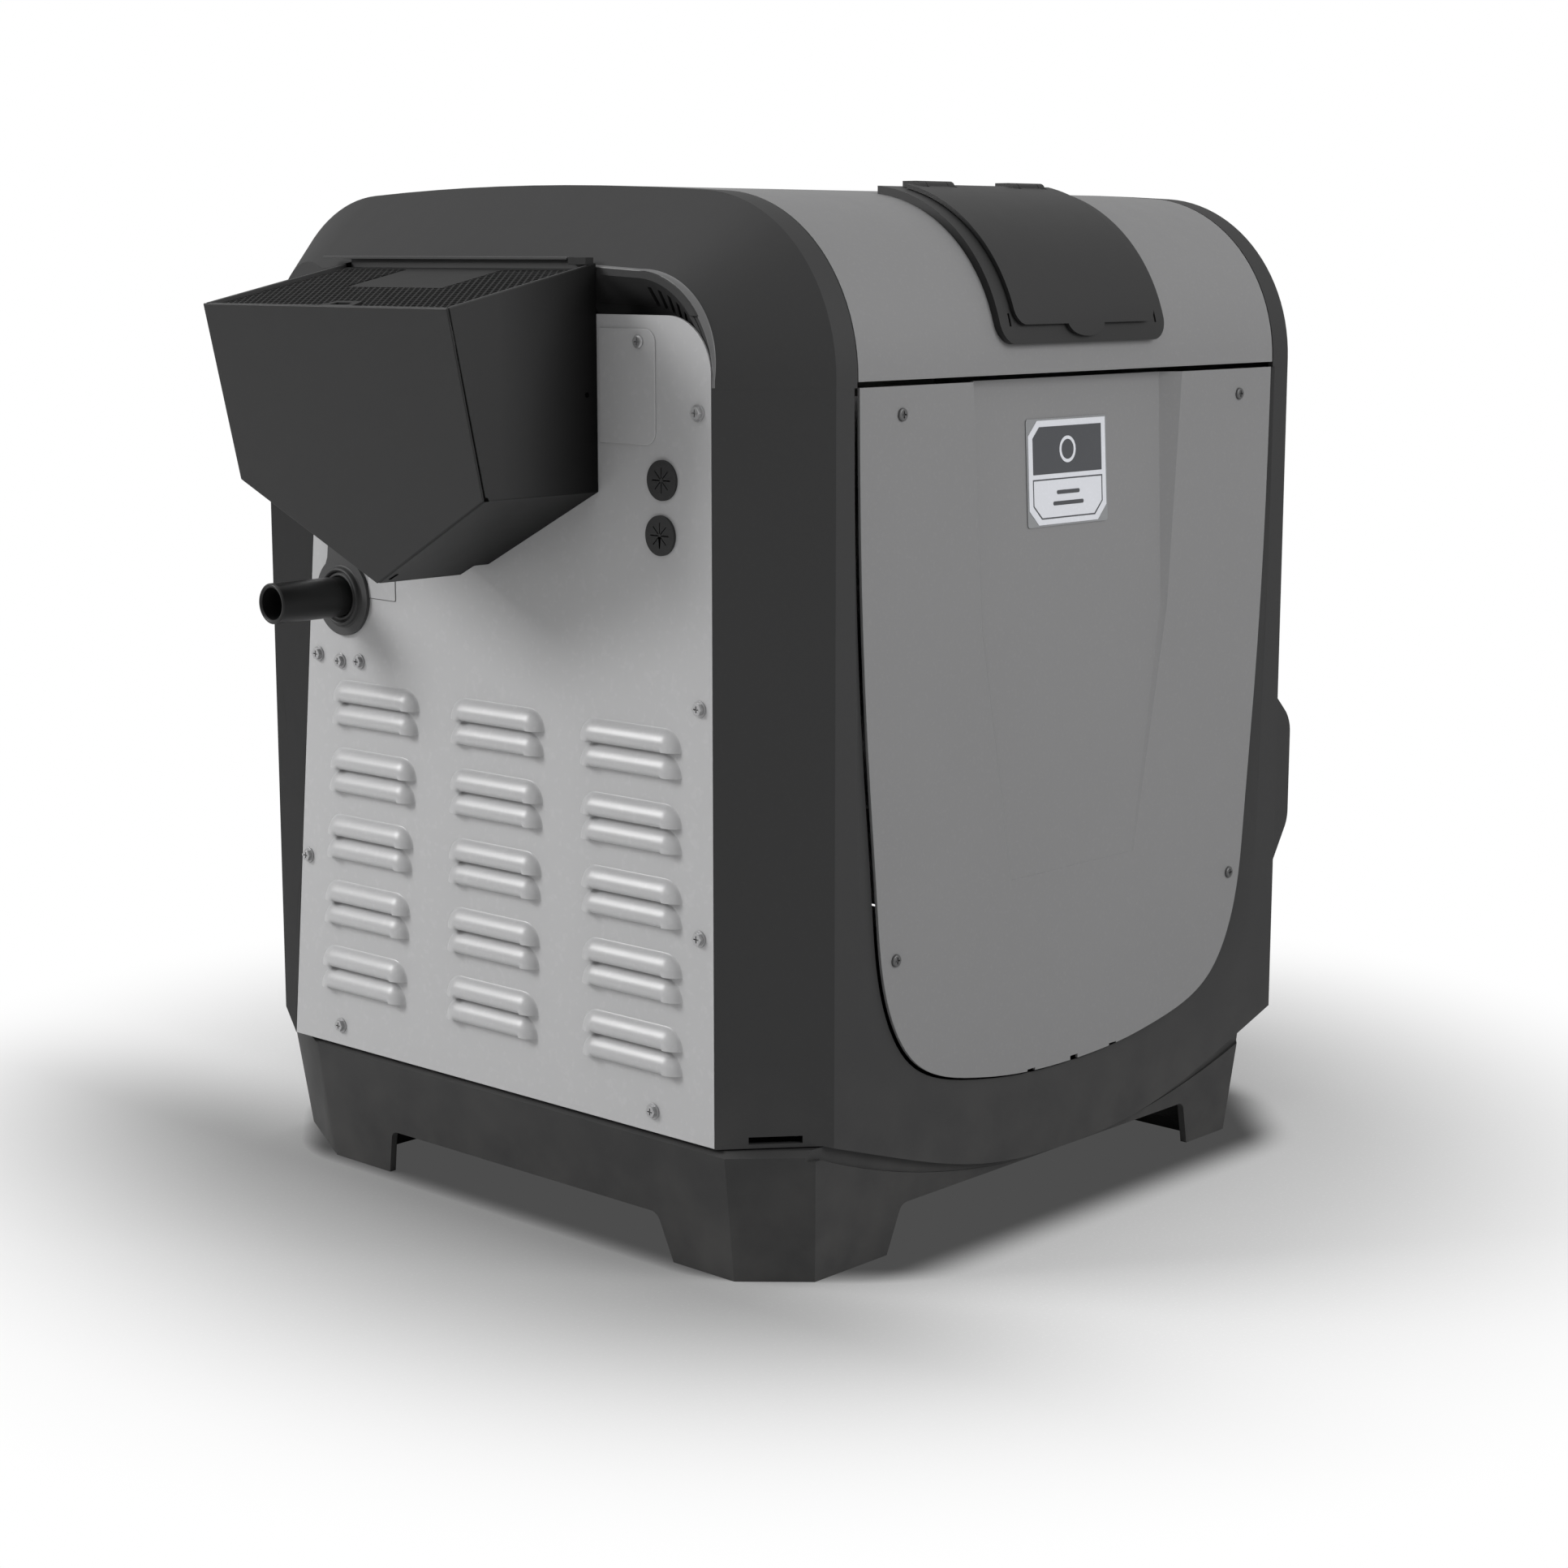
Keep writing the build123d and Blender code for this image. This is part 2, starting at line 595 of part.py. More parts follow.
def hood_block(inset, open_top):
    """Hood's outer form, set in by inset: a box with a raked face, a pitched top and a V below."""
    near = -114.8 + inset
    far = 113.6 - inset
    with BuildPart() as block:
        with BuildSketch(Plane.YZ.offset(-HALF_W)):
            with BuildLine():
                Polyline(
                    (near, 640), (far, 640), (far, 480 + inset * 0.5),
                    (-1.5, 421.5 + inset * 1.12), (near, 479 + inset * 0.5), close=True,
                )
            make_face()
        extrude(amount=-140)
        rake = Plane(origin=(-HOOD_REACH + inset, 0, 590), x_dir=(0, 1, 0), z_dir=(-0.9756, 0, -0.2184))
        split(bisect_by=rake, keep=Keep.BOTTOM)
        if not open_top:
            split(bisect_by=hood_pitch, keep=Keep.BOTTOM)
    return block.part


hood_outside = hood_block(0, False)
hood_inside = hood_block(SHEET, True)

with BuildPart() as exhaust_hood:
    add(hood_outside)
    add(hood_inside, mode=Mode.SUBTRACT)
    with Locations((-HALF_W - 6, -1.5, 420)):
        Box(12.1, 60, 16, mode=Mode.SUBTRACT)
    with Locations((-HALF_W - 3.2, 13.5, 616.2)):
        Box(5.6, 251, 5.4)
    with Locations(Pos(-HALF_W - 22, -114, 535) * Rot(90, 0, 0)):
        Cylinder(2.2, 6, mode=Mode.SUBTRACT)
exhaust_hood.part.label = "exhaust_hood"
export_step(exhaust_hood.part, "parts/exhaust_hood.step")

with BuildPart() as hood_grille:
    with BuildSketch(hood_pitch.offset(-3.5)):
        with Locations((0, -59)):
            Rectangle(224, 112)
            with GridLocations(11.0, 10.5, 20, 10):
                Rectangle(8.6, 8.1, mode=Mode.SUBTRACT)
            Rectangle(88, 40)
    extrude(amount=1.2)
hood_grille.part.label = "hood_grille"
export_step(hood_grille.part, "parts/hood_grille.step")

# ---------------------------------------------------------------- badge
badge_seat = Plane(origin=(-12.5, -HALF_D + 7.42, 483), x_dir=(1, 0, 0), z_dir=(0, -1, 0.0497))

with BuildPart() as badge:
    with BuildSketch(badge_seat):
        Rectangle(84, 68.5)
    extrude(amount=1.2)
badge.part.label = "badge"
export_step(badge.part, "parts/badge.step")


# ---------------------------------------------------------------- control cover on the lid
def crown_band(half, proud_in, proud_out):
    """Curved band lying over the lid between two heights above its surface."""
    with BuildPart() as band:
        extrude(crown(-half, -proud_out, LID_FOOT_Z), amount=2 * half)
        extrude(crown(-half, -proud_in, LID_FOOT_Z - 5), amount=2 * half, mode=Mode.SUBTRACT)
    return band.part


def front_window(half, low, high, radius, back_y):
    """Block seen from the front as a rectangle with round lower corners, back to back_y."""
    with BuildPart() as block:
        with BuildSketch(Plane.XZ.offset(HALF_D + 40)):
            with Locations((0, (low + high) / 2)):
                Rectangle(2 * half, high - low)
        extrude(amount=-(HALF_D + 40 + back_y))
        fillet(block.edges().filter_by(Axis.Y).group_by(Axis.Z)[0], radius)
    return block.part


bezel_outline = front_window(86, 565, 700, 14, BEZEL_BACK_Y)
bezel_opening = front_window(69, 581, 700, 8, HINGE_Y - 5)

with BuildPart() as flap_outline:
    add(front_window(73, 577, 700, 10, HINGE_Y))
    with BuildSketch(Plane.XZ.offset(HALF_D + 40)):
        with Locations((-2, 578)):
            Ellipse(19, 9)
    extrude(amount=-60)
lug_x = [sx * x for sx in (-1, 1) for x in (33.25, 60.75)]
barrel_x = [-47, 47]

with BuildPart() as control_bezel:
    add(crown_band(90, 0, 5))
    add(bezel_outline, mode=Mode.INTERSECT)
    add(bezel_opening, mode=Mode.SUBTRACT)
    with Locations((0, (HINGE_Y - 5 + HINGE_Y + 6) / 2, 660)):
        Box(140, 11, 30, mode=Mode.SUBTRACT)
    with Locations((-76, -258, 580), (76, -258, 580)):
        Box(1.8, 40, 8, mode=Mode.SUBTRACT)
    for x in lug_x:
        with Locations(Pos(x, HINGE_Y, HINGE_Z) * Rot(0, 90, 0)):
            Cylinder(4.2, 6.5)
        with Locations((x, HINGE_Y + 5.5, HINGE_Z + 0.2)):
            Box(6.5, 11, 8)
    for x in lug_x:
        with Locations(Pos(x, HINGE_Y, HINGE_Z) * Rot(0, 90, 0)):
            Cylinder(HINGE_PIN_R, 20, mode=Mode.SUBTRACT)
control_bezel.part.label = "control_bezel"
export_step(control_bezel.part, "parts/control_bezel.step")

with BuildPart() as control_cover:
    add(crown_band(80, 5.4, 8))
    add(flap_outline.part, mode=Mode.INTERSECT)
    for x in lug_x:
        with Locations((x, HINGE_Y, HINGE_Z)):
            Box(7.3, 13, 20, mode=Mode.SUBTRACT)
    for x in barrel_x:
        with Locations(Pos(x, HINGE_Y, HINGE_Z) * Rot(0, 90, 0)):
            Cylinder(4.2, 20.2)
            Cylinder(HINGE_PIN_R + 0.05, 30, mode=Mode.SUBTRACT)
control_cover.part.label = "control_cover"
export_step(control_cover.part, "parts/control_cover.step")

with BuildPart() as hinge_pins:
    for x in barrel_x:
        with Locations(Pos(x, HINGE_Y, HINGE_Z) * Rot(0, 90, 0)):
            Cylinder(HINGE_PIN_R, 34)
hinge_pins.part.label = "hinge_pins"
export_step(hinge_pins.part, "parts/hinge_pins.step")

# ---------------------------------------------------------------- keypad
tilt = radians(CONSOLE_TILT)
console = Plane(
    origin=(0, -CORNER_Y - 95 * cos(tilt), CORNER_Z + 95 * sin(tilt)),
    x_dir=(1, 0, 0), z_dir=(0, -cos(tilt), sin(tilt)),
)
button_x = [-44, -22, 0, 22, 44]

with BuildPart() as keypad_housing:
    with BuildSketch(console):
        RectangleRounded(128, 72, 6)
    extrude(amount=-3)
    with BuildSketch(console.offset(-3)):
        RectangleRounded(118, 60, 4)
    extrude(amount=-15)
    with BuildSketch(console.offset(-3)):
        RectangleRounded(112, 54, 3)
    extrude(amount=-15, mode=Mode.SUBTRACT)
    with BuildSketch(console):
        with Locations(*[(x, -16) for x in button_x]):
            Circle(6.3)
    extrude(amount=-3, mode=Mode.SUBTRACT)
keypad_housing.part.label = "keypad_housing"
export_step(keypad_housing.part, "parts/keypad_housing.step")

with BuildPart() as display_window:
    with BuildSketch(console):
        with Locations((0, 14)):
            RectangleRounded(84, 26, 3)
    extrude(amount=1.5)
display_window.part.label = "display_window"
export_step(display_window.part, "parts/display_window.step")

for number, x in enumerate(button_x, start=1):
    with BuildPart() as keypad_button:
        with BuildSketch(console.offset(2)):
            with Locations((x, -16)):
                Circle(6)
        extrude(amount=-7)
        fillet(keypad_button.edges().filter_by(GeomType.CIRCLE).sort_by(Axis.Z)[-1], 0.8)
    keypad_button.part.label = f"keypad_button_{number}"
    export_step(keypad_button.part, f"parts/keypad_button_{number}.step")


# ---------------------------------------------------------------- water side
def x_rod(radius, start, end, y, z):
    """Round bar along X."""
    with BuildPart() as rod:
        with BuildSketch(Plane.YZ.offset(start)):
            with Locations((y, z)):
                Circle(radius)
        extrude(amount=end - start)
    return rod.part


def block(x, y, z):
    """Rectangular block from pairs of limits."""
    with BuildPart() as brick:
        with Locations(((x[0] + x[1]) / 2, (y[0] + y[1]) / 2, (z[0] + z[1]) / 2)):
            Box(x[1] - x[0], y[1] - y[0], z[1] - z[0])
    return brick.part


tube_spots = [
    (HX_Y + TUBE_RING_R * cos(radians(90 + turn * 360 / TUBE_COUNT)),
     HX_Z + TUBE_RING_R * sin(radians(90 + turn * 360 / TUBE_COUNT)))
    for turn in range(TUBE_COUNT)
]

with BuildPart() as heat_exchanger_tubes:
    with BuildSketch(Plane.YZ.offset(HX_LEFT - 6)):
        with Locations(*tube_spots):
            Circle(TUBE_R)
            Circle(TUBE_R - 1.2, mode=Mode.SUBTRACT)
    extrude(amount=HX_RIGHT - HX_LEFT + 12)
heat_exchanger_tubes.part.label = "heat_exchanger_tubes"
export_step(heat_exchanger_tubes.part, "parts/heat_exchanger_tubes.step")

with BuildPart() as heat_exchanger_fins:
    for station in range(24):
        with BuildSketch(Plane.YZ.offset(HX_LEFT + 26 + station * 10)):
            with Locations((HX_Y, HX_Z)):
                Circle(104)
                Circle(62, mode=Mode.SUBTRACT)
            with Locations(*tube_spots):
                Circle(TUBE_R, mode=Mode.SUBTRACT)
        extrude(amount=0.8)
heat_exchanger_fins.part.label = "heat_exchanger_fins"
export_step(heat_exchanger_fins.part, "parts/heat_exchanger_fins.step")

with BuildPart() as tube_sheets:
    for x, bore in ((HX_LEFT, 60), (HX_RIGHT - 6, 30)):
        with BuildSketch(Plane.YZ.offset(x)):
            with Locations((HX_Y, HX_Z)):
                Circle(115)
                Circle(bore, mode=Mode.SUBTRACT)
            with Locations(*tube_spots):
                Circle(TUBE_R, mode=Mode.SUBTRACT)
        extrude(amount=6)
tube_sheets.part.label = "tube_sheets"
export_step(tube_sheets.part, "parts/tube_sheets.step")

with BuildPart() as combustion_chamber:
    add(x_rod(115, HX_LEFT + 6, HX_RIGHT - 6, HX_Y, HX_Z))
    add(x_rod(112, HX_LEFT + 5, HX_RIGHT - 5, HX_Y, HX_Z), mode=Mode.SUBTRACT)
    add(block((-30, 70), (HX_Y - 30, HX_Y + 30), (HX_Z + 80, HX_Z + 130)), mode=Mode.SUBTRACT)
combustion_chamber.part.label = "combustion_chamber"
export_step(combustion_chamber.part, "parts/combustion_chamber.step")

with BuildPart() as return_header:
    add(x_rod(112, HX_LEFT - 34, HX_LEFT, HX_Y, HX_Z))
    add(x_rod(60, HX_LEFT - 35, HX_LEFT + 1, HX_Y, HX_Z), mode=Mode.SUBTRACT)
    with BuildSketch(Plane.YZ.offset(HX_LEFT - 28)):
        with Locations((HX_Y, HX_Z)):
            Circle(104)
            Circle(66, mode=Mode.SUBTRACT)
    extrude(amount=29, mode=Mode.SUBTRACT)
return_header.part.label = "return_header"
export_step(return_header.part, "parts/return_header.step")

port_centre = (PORT_Y[0] + PORT_Y[1]) / 2
with BuildPart() as water_header:
    add(x_rod(112, HX_RIGHT, HX_RIGHT + 34, HX_Y, HX_Z))
    add(block((HX_RIGHT + 1, HX_RIGHT + 44), (port_centre - 98, port_centre + 98), (PORT_Z - 42, PORT_Z + 42)))
    for y in PORT_Y:
        add(x_rod(37, HX_RIGHT + 30, PORT_END_X, y, PORT_Z))
    with BuildSketch(Plane.YZ.offset(HX_RIGHT - 1)):
        with Locations((HX_Y, HX_Z)):
            Circle(104)
            Circle(60, mode=Mode.SUBTRACT)
    extrude(amount=29, mode=Mode.SUBTRACT)
    for y in PORT_Y:
        add(x_rod(PORT_R, HX_RIGHT + 8, PORT_END_X + 1, y, PORT_Z), mode=Mode.SUBTRACT)
        add(block((HX_RIGHT + 8, HX_RIGHT + 27), (y - 20, y + 20), (PORT_Z, PORT_Z + 60)), mode=Mode.SUBTRACT)
    with Locations(Pos(BYPASS_X, port_centre, PORT_Z) * Rot(90, 0, 0)):
        Cylinder(BYPASS_R, 70, mode=Mode.SUBTRACT)
    with Locations((BYPASS_X, port_centre, (BYPASS_LOW_Z + PORT_Z + 10) / 2)):
        Cylinder(BYPASS_R + 0.4, PORT_Z + 10 - BYPASS_LOW_Z, mode=Mode.SUBTRACT)
water_header.part.label = "water_header"
export_step(water_header.part, "parts/water_header.step")

with BuildPart() as bypass_plunger:
    with Locations((BYPASS_X, port_centre, PORT_Z)):
        Cylinder(BYPASS_R, 18)
bypass_plunger.part.label = "bypass_plunger"
export_step(bypass_plunger.part, "parts/bypass_plunger.step")

with BuildPart() as bypass_spring:
    with BuildLine(Plane.XY.offset(BYPASS_LOW_Z + 1.2)) as coil:
        Helix(pitch=4, height=PORT_Z - 9 - BYPASS_LOW_Z - 2.4, radius=6, center=(BYPASS_X, port_centre, 0))
    with BuildSketch(Plane(origin=coil.line @ 0, z_dir=coil.line % 0)):
        Circle(0.8)
    sweep(is_frenet=True)
bypass_spring.part.label = "bypass_spring"
export_step(bypass_spring.part, "parts/bypass_spring.step")

for side, y in zip(("inlet", "outlet"), PORT_Y):
    with BuildPart() as union_nut:
        with BuildSketch(Plane.YZ.offset(PORT_END_X - 10)):
            with Locations((y, PORT_Z)):
                Circle(47)
        extrude(amount=34)
        chamfer(union_nut.edges().filter_by(GeomType.CIRCLE), 2)
        with BuildSketch(Plane.YZ.offset(PORT_END_X - 10)):
            with Locations((y, PORT_Z)):
                with PolarLocations(49, 12):
                    Circle(5.5)
        extrude(amount=34, mode=Mode.SUBTRACT)
        add(x_rod(37.5, PORT_END_X - 11, PORT_END_X + 14, y, PORT_Z), mode=Mode.SUBTRACT)
        add(x_rod(34, PORT_END_X, PORT_END_X + 40, y, PORT_Z), mode=Mode.SUBTRACT)
    union_nut.part.label = f"{side}_union_nut"
    export_step(union_nut.part, f"parts/{side}_union_nut.step")

with BuildPart() as union_tailpieces:
    for y in PORT_Y:
        add(x_rod(36.8, PORT_END_X + 3, PORT_END_X + 13, y, PORT_Z))
        add(x_rod(33.4, PORT_END_X + 13, PORT_END_X + 58, y, PORT_Z))
    for y in PORT_Y:
        add(x_rod(PORT_R, PORT_END_X + 2, PORT_END_X + 59, y, PORT_Z), mode=Mode.SUBTRACT)
union_tailpieces.part.label = "union_tailpieces"
export_step(union_tailpieces.part, "parts/union_tailpieces.step")

with BuildPart() as union_seals:
    with BuildSketch(Plane.YZ.offset(PORT_END_X)):
        with Locations(*[(y, PORT_Z) for y in PORT_Y]):
            Circle(36)
            Circle(31.5, mode=Mode.SUBTRACT)
    extrude(amount=3)
union_seals.part.label = "union_seals"
export_step(union_seals.part, "parts/union_seals.step")

def cover_profile(inset):
    """Bulging section of the cover over the water header, set in by inset."""
    with BuildSketch(Plane.XZ.offset(-(port_centre + 105 - inset))) as profile:
        with BuildLine():
            Polyline(
                (HALF_W - inset * 2, 160 + inset), (HALF_W - inset * 2, 305 - inset), (302 - inset * 0.5, 305 - inset),
                (329 - inset, 279 - inset * 0.5), (329 - inset, 203 + inset * 0.4), (302 - inset * 0.5, 160 + inset),
                close=True,
            )
        make_face()
        fillet(profile.vertices().group_by(Axis.X)[-1], 24 - inset)
        fillet(profile.vertices().filter_by_position(Axis.X, 295, 303), 9)
    return profile.sketch


with BuildPart() as header_cover:
    extrude(cover_profile(0), amount=285)
    extrude(cover_profile(3), amount=279, mode=Mode.SUBTRACT)
    for y in PORT_Y:
        add(x_rod(38, 300, 340, y, PORT_Z), mode=Mode.SUBTRACT)
    add(x_rod(8.5, 300, 340, port_centre, PORT_Z - 25), mode=Mode.SUBTRACT)
header_cover.part.label = "header_cover"
export_step(header_cover.part, "parts/header_cover.step")

with BuildPart() as drain_plug:
    add(x_rod(8, HX_RIGHT + 44, 341, port_centre, PORT_Z - 25))
    add(x_rod(11, 341, 350, port_centre, PORT_Z - 25))
    add(block((350, 362), (port_centre - 10, port_centre + 10), (PORT_Z - 27, PORT_Z - 23)))
drain_plug.part.label = "drain_plug"
export_step(drain_plug.part, "parts/drain_plug.step")

with BuildPart() as relief_valve:
    add(x_rod(13.4, 262, 300, RELIEF_Y, RELIEF_Z))
    add(x_rod(17, HALF_W, 297, RELIEF_Y, RELIEF_Z))
    with Locations((308, RELIEF_Y, RELIEF_Z + 2)):
        Cylinder(12, 52)
    with Locations((308, RELIEF_Y, RELIEF_Z - 24)):
        Cylinder(9.5, 12, mode=Mode.SUBTRACT)
    with Locations((308, RELIEF_Y, RELIEF_Z + 30)):
        Box(7, 10, 12)
    with Locations(Pos(308, RELIEF_Y, RELIEF_Z + 33) * Rot(0, 90, 0)):
        Cylinder(2.05, 20, mode=Mode.SUBTRACT)
relief_valve.part.label = "relief_valve"
export_step(relief_valve.part, "parts/relief_valve.step")

with BuildPart() as relief_lever:
    with Locations((308, RELIEF_Y - 15.75, RELIEF_Z + 33)):
        Box(15, 38.5, 6)
    with Locations((308, RELIEF_Y, RELIEF_Z + 33)):
        Box(7.8, 15, 30, mode=Mode.SUBTRACT)
    with Locations(Pos(308, RELIEF_Y, RELIEF_Z + 33) * Rot(0, 90, 0)):
        Cylinder(2.0, 15)
relief_lever.part.label = "relief_lever"
export_step(relief_lever.part, "parts/relief_lever.step")

# ---------------------------------------------------------------- combustion side
with BuildPart() as burner:
    add(x_rod(38, HX_LEFT + 2, HX_RIGHT - 30, HX_Y, HX_Z))
    add(x_rod(36.5, HX_LEFT + 1, HX_RIGHT - 32, HX_Y, HX_Z), mode=Mode.SUBTRACT)
    add(x_rod(59, HX_LEFT - 2, HX_LEFT + 2, HX_Y, HX_Z))
    add(x_rod(36.5, HX_LEFT - 3, HX_LEFT + 3, HX_Y, HX_Z), mode=Mode.SUBTRACT)
    for turn in (50, 130):
        spot = (HX_Y + 52 * cos(radians(turn)), HX_Z + 52 * sin(radians(turn)))
        add(x_rod(4.2, HX_LEFT - 3, HX_LEFT + 3, *spot), mode=Mode.SUBTRACT)
burner.part.label = "burner"
export_step(burner.part, "parts/burner.step")

with BuildPart() as burner_probes:
    for turn in (50, 130):
        spot = (HX_Y + 52 * cos(radians(turn)), HX_Z + 52 * sin(radians(turn)))
        add(x_rod(4.2, HX_LEFT - 30, HX_LEFT + 12, *spot))
        add(x_rod(1.5, HX_LEFT + 12, HX_LEFT + 60, *spot))
burner_probes.part.label = "burner_probes"
export_step(burner_probes.part, "parts/burner_probes.step")

with BuildPart() as mixing_elbow:
    for inset, mode in ((0, Mode.ADD), (3, Mode.SUBTRACT)):
        with BuildSketch(Plane.XZ.offset(-(HX_Y + 34 - inset))):
            with BuildLine():
                Polyline(
                    (-196 + inset, 262 - inset), (-196 + inset, HX_Z + 34 - inset),
                    (HX_LEFT - 2 + inset, HX_Z + 34 - inset), (HX_LEFT - 2 + inset, HX_Z - 34 + inset),
                    (-144 - inset, HX_Z - 34 + inset), (-144 - inset, 262 - inset), close=True,
                )
            make_face()
        extrude(amount=2 * (34 - inset), mode=mode)
mixing_elbow.part.label = "mixing_elbow"
export_step(mixing_elbow.part, "parts/mixing_elbow.step")


def volute(inset, top):
    """Blower scroll's outer form, set in by inset, with its outlet going up to top."""
    with BuildPart() as scroll:
        add(x_rod(80 - inset, BLOWER_LEFT + inset, BLOWER_RIGHT - inset, HX_Y, BLOWER_Z))
        add(block((-196 + inset, -144 - inset), (HX_Y - 34 + inset, HX_Y + 34 - inset), (BLOWER_Z, top)))
    return scroll.part


with BuildPart() as blower_housing:
    add(volute(0, 262))
    add(volute(3, 263), mode=Mode.SUBTRACT)
    add(x_rod(30, BLOWER_LEFT - 1, BLOWER_LEFT + 4, HX_Y, BLOWER_Z), mode=Mode.SUBTRACT)
    add(x_rod(6, BLOWER_RIGHT - 4, BLOWER_RIGHT + 1, HX_Y, BLOWER_Z), mode=Mode.SUBTRACT)
blower_housing.part.label = "blower_housing"
export_step(blower_housing.part, "parts/blower_housing.step")

with BuildPart() as blower_motor:
    add(x_rod(36, BLOWER_RIGHT, -66, HX_Y, BLOWER_Z))
    fillet(blower_motor.edges().filter_by(GeomType.CIRCLE).sort_by(Axis.X)[-1], 4)
    add(x_rod(4.05, BLOWER_RIGHT - 1, -80, HX_Y, BLOWER_Z), mode=Mode.SUBTRACT)
blower_motor.part.label = "blower_motor"
export_step(blower_motor.part, "parts/blower_motor.step")

with BuildPart() as blower_impeller:
    add(x_rod(62, -150, -147.5, HX_Y, BLOWER_Z))
    add(x_rod(12, -168, -150, HX_Y, BLOWER_Z))
    add(x_rod(4, -147.5, -82, HX_Y, BLOWER_Z))
    with BuildSketch(Plane.YZ.offset(-150)):
        with Locations((HX_Y, BLOWER_Z)):
            with PolarLocations(50, 20):
                Rectangle(20, 1.6, rotation=35)
    extrude(amount=-38)
blower_impeller.part.label = "blower_impeller"
export_step(blower_impeller.part, "parts/blower_impeller.step")

with BuildPart() as air_mixer:
    add(x_rod(34, BLOWER_LEFT - 40, BLOWER_LEFT, HX_Y, BLOWER_Z))
    add(x_rod(28, BLOWER_LEFT - 41, BLOWER_LEFT + 1, HX_Y, BLOWER_Z), mode=Mode.SUBTRACT)
    with Locations(Pos(BLOWER_LEFT - 20, HX_Y + 34, BLOWER_Z) * Rot(90, 0, 0)):
        Cylinder(8, 20, mode=Mode.SUBTRACT)
air_mixer.part.label = "air_mixer"
export_step(air_mixer.part, "parts/air_mixer.step")

with BuildPart() as air_filter:
    add(block((-284, BLOWER_LEFT - 40), (-110, 50), (108, 258)))
    with Locations((-262, HX_Y, BLOWER_Z)):
        Box(36, 150, 140, mode=Mode.SUBTRACT)
    add(x_rod(28, -260, BLOWER_LEFT, HX_Y, BLOWER_Z), mode=Mode.SUBTRACT)
air_filter.part.label = "air_filter"
export_step(air_filter.part, "parts/air_filter.step")

# ---------------------------------------------------------------- gas train
with BuildPart() as gas_pipe:
    with BuildLine() as gas_route:
        FilletPolyline((GAS_END_X, GAS_Y, GAS_Z), (-240, GAS_Y, GAS_Z), (-240, GAS_Y, 302), radius=28)
    with BuildSketch(Plane(origin=gas_route.line @ 0, z_dir=gas_route.line % 0)):
        Circle(GAS_BODY_R)
        Circle(GAS_BORE_R, mode=Mode.SUBTRACT)
    sweep()
    with BuildSketch(Plane.YZ.offset(GAS_END_X)):
        with Locations((GAS_Y, GAS_Z)):
            Circle(GAS_R)
            Circle(GAS_BORE_R, mode=Mode.SUBTRACT)
    extrude(amount=GAS_THREAD_X - GAS_END_X)
    chamfer(gas_pipe.edges().filter_by(GeomType.CIRCLE).group_by(Axis.X)[0], 1.0)
gas_pipe.part.label = "gas_pipe"
export_step(gas_pipe.part, "parts/gas_pipe.step")

with BuildPart() as gas_valve:
    add(block((-266, -214), (GAS_Y - 24, GAS_Y + 24), (236, 302)))
    fillet(gas_valve.edges().filter_by(Axis.Z), 5)
    add(block((-262, -222), (GAS_Y - 40, GAS_Y - 24), (244, 290)))
gas_valve.part.label = "gas_valve"
export_step(gas_valve.part, "parts/gas_valve.step")

with BuildPart() as gas_knob:
    with BuildSketch(Plane.XZ.offset(-(GAS_Y + 24.5))):
        with Locations((-240, 272)):
            Circle(15)
    extrude(amount=-5)
    with BuildSketch(Plane.XZ.offset(-(GAS_Y + 29.5))):
        with Locations((-240, 272)):
            SlotOverall(28, 8)
    extrude(amount=-8)
gas_knob.part.label = "gas_knob"
export_step(gas_knob.part, "parts/gas_knob.step")

with BuildPart() as gas_supply_tube:
    with BuildLine() as supply_route:
        FilletPolyline(
            (BLOWER_LEFT - 20, GAS_Y, 236), (BLOWER_LEFT - 20, GAS_Y, BLOWER_Z),
            (BLOWER_LEFT - 20, HX_Y + 32, BLOWER_Z), radius=24,
        )
    with BuildSketch(Plane(origin=supply_route.line @ 0, z_dir=supply_route.line % 0)):
        Circle(8)
        Circle(6.6, mode=Mode.SUBTRACT)
    sweep()
gas_supply_tube.part.label = "gas_supply_tube"
export_step(gas_supply_tube.part, "parts/gas_supply_tube.step")

# ---------------------------------------------------------------- flue
with BuildPart() as flue_collector:
    add(block((-40, 80), (HX_Y - 40, VENT_Y + 64), (HX_Z + 80, 585)))
    add(block((-37, 77), (HX_Y - 37, VENT_Y + 61), (HX_Z + 70, 582)), mode=Mode.SUBTRACT)
    add(x_rod(115.2, -60, 100, HX_Y, HX_Z), mode=Mode.SUBTRACT)
    add(x_rod(VENT_R, -60, -30, VENT_Y, VENT_Z), mode=Mode.SUBTRACT)
flue_collector.part.label = "flue_collector"
export_step(flue_collector.part, "parts/flue_collector.step")

with BuildPart() as flue_pipe:
    add(x_rod(VENT_R, -HALF_W - 40, -37, VENT_Y, VENT_Z))
    add(x_rod(VENT_R - 1.2, -HALF_W - 41, -36, VENT_Y, VENT_Z), mode=Mode.SUBTRACT)
flue_pipe.part.label = "flue_pipe"
export_step(flue_pipe.part, "parts/flue_pipe.step")

# ---------------------------------------------------------------- electrics and frame
with BuildPart() as control_board:
    add(block((30, 200), (-226, -224), (330, 500)))
    add(block((60, 100), (-240, -226), (360, 400)))
    add(block((130, 180), (-238, -226), (420, 460)))
control_board.part.label = "control_board"
export_step(control_board.part, "parts/control_board.step")

with BuildPart() as board_tray:
    add(block((20, 210), (-224, -202), (320, 510)))
    add(block((22, 208), (-225, -204), (322, 508)), mode=Mode.SUBTRACT)
    with Locations(*[(x, -214, z) for x in (40, 190) for z in (340, 490)]):
        Box(8, 20, 8)
board_tray.part.label = "board_tray"
export_step(board_tray.part, "parts/board_tray.step")

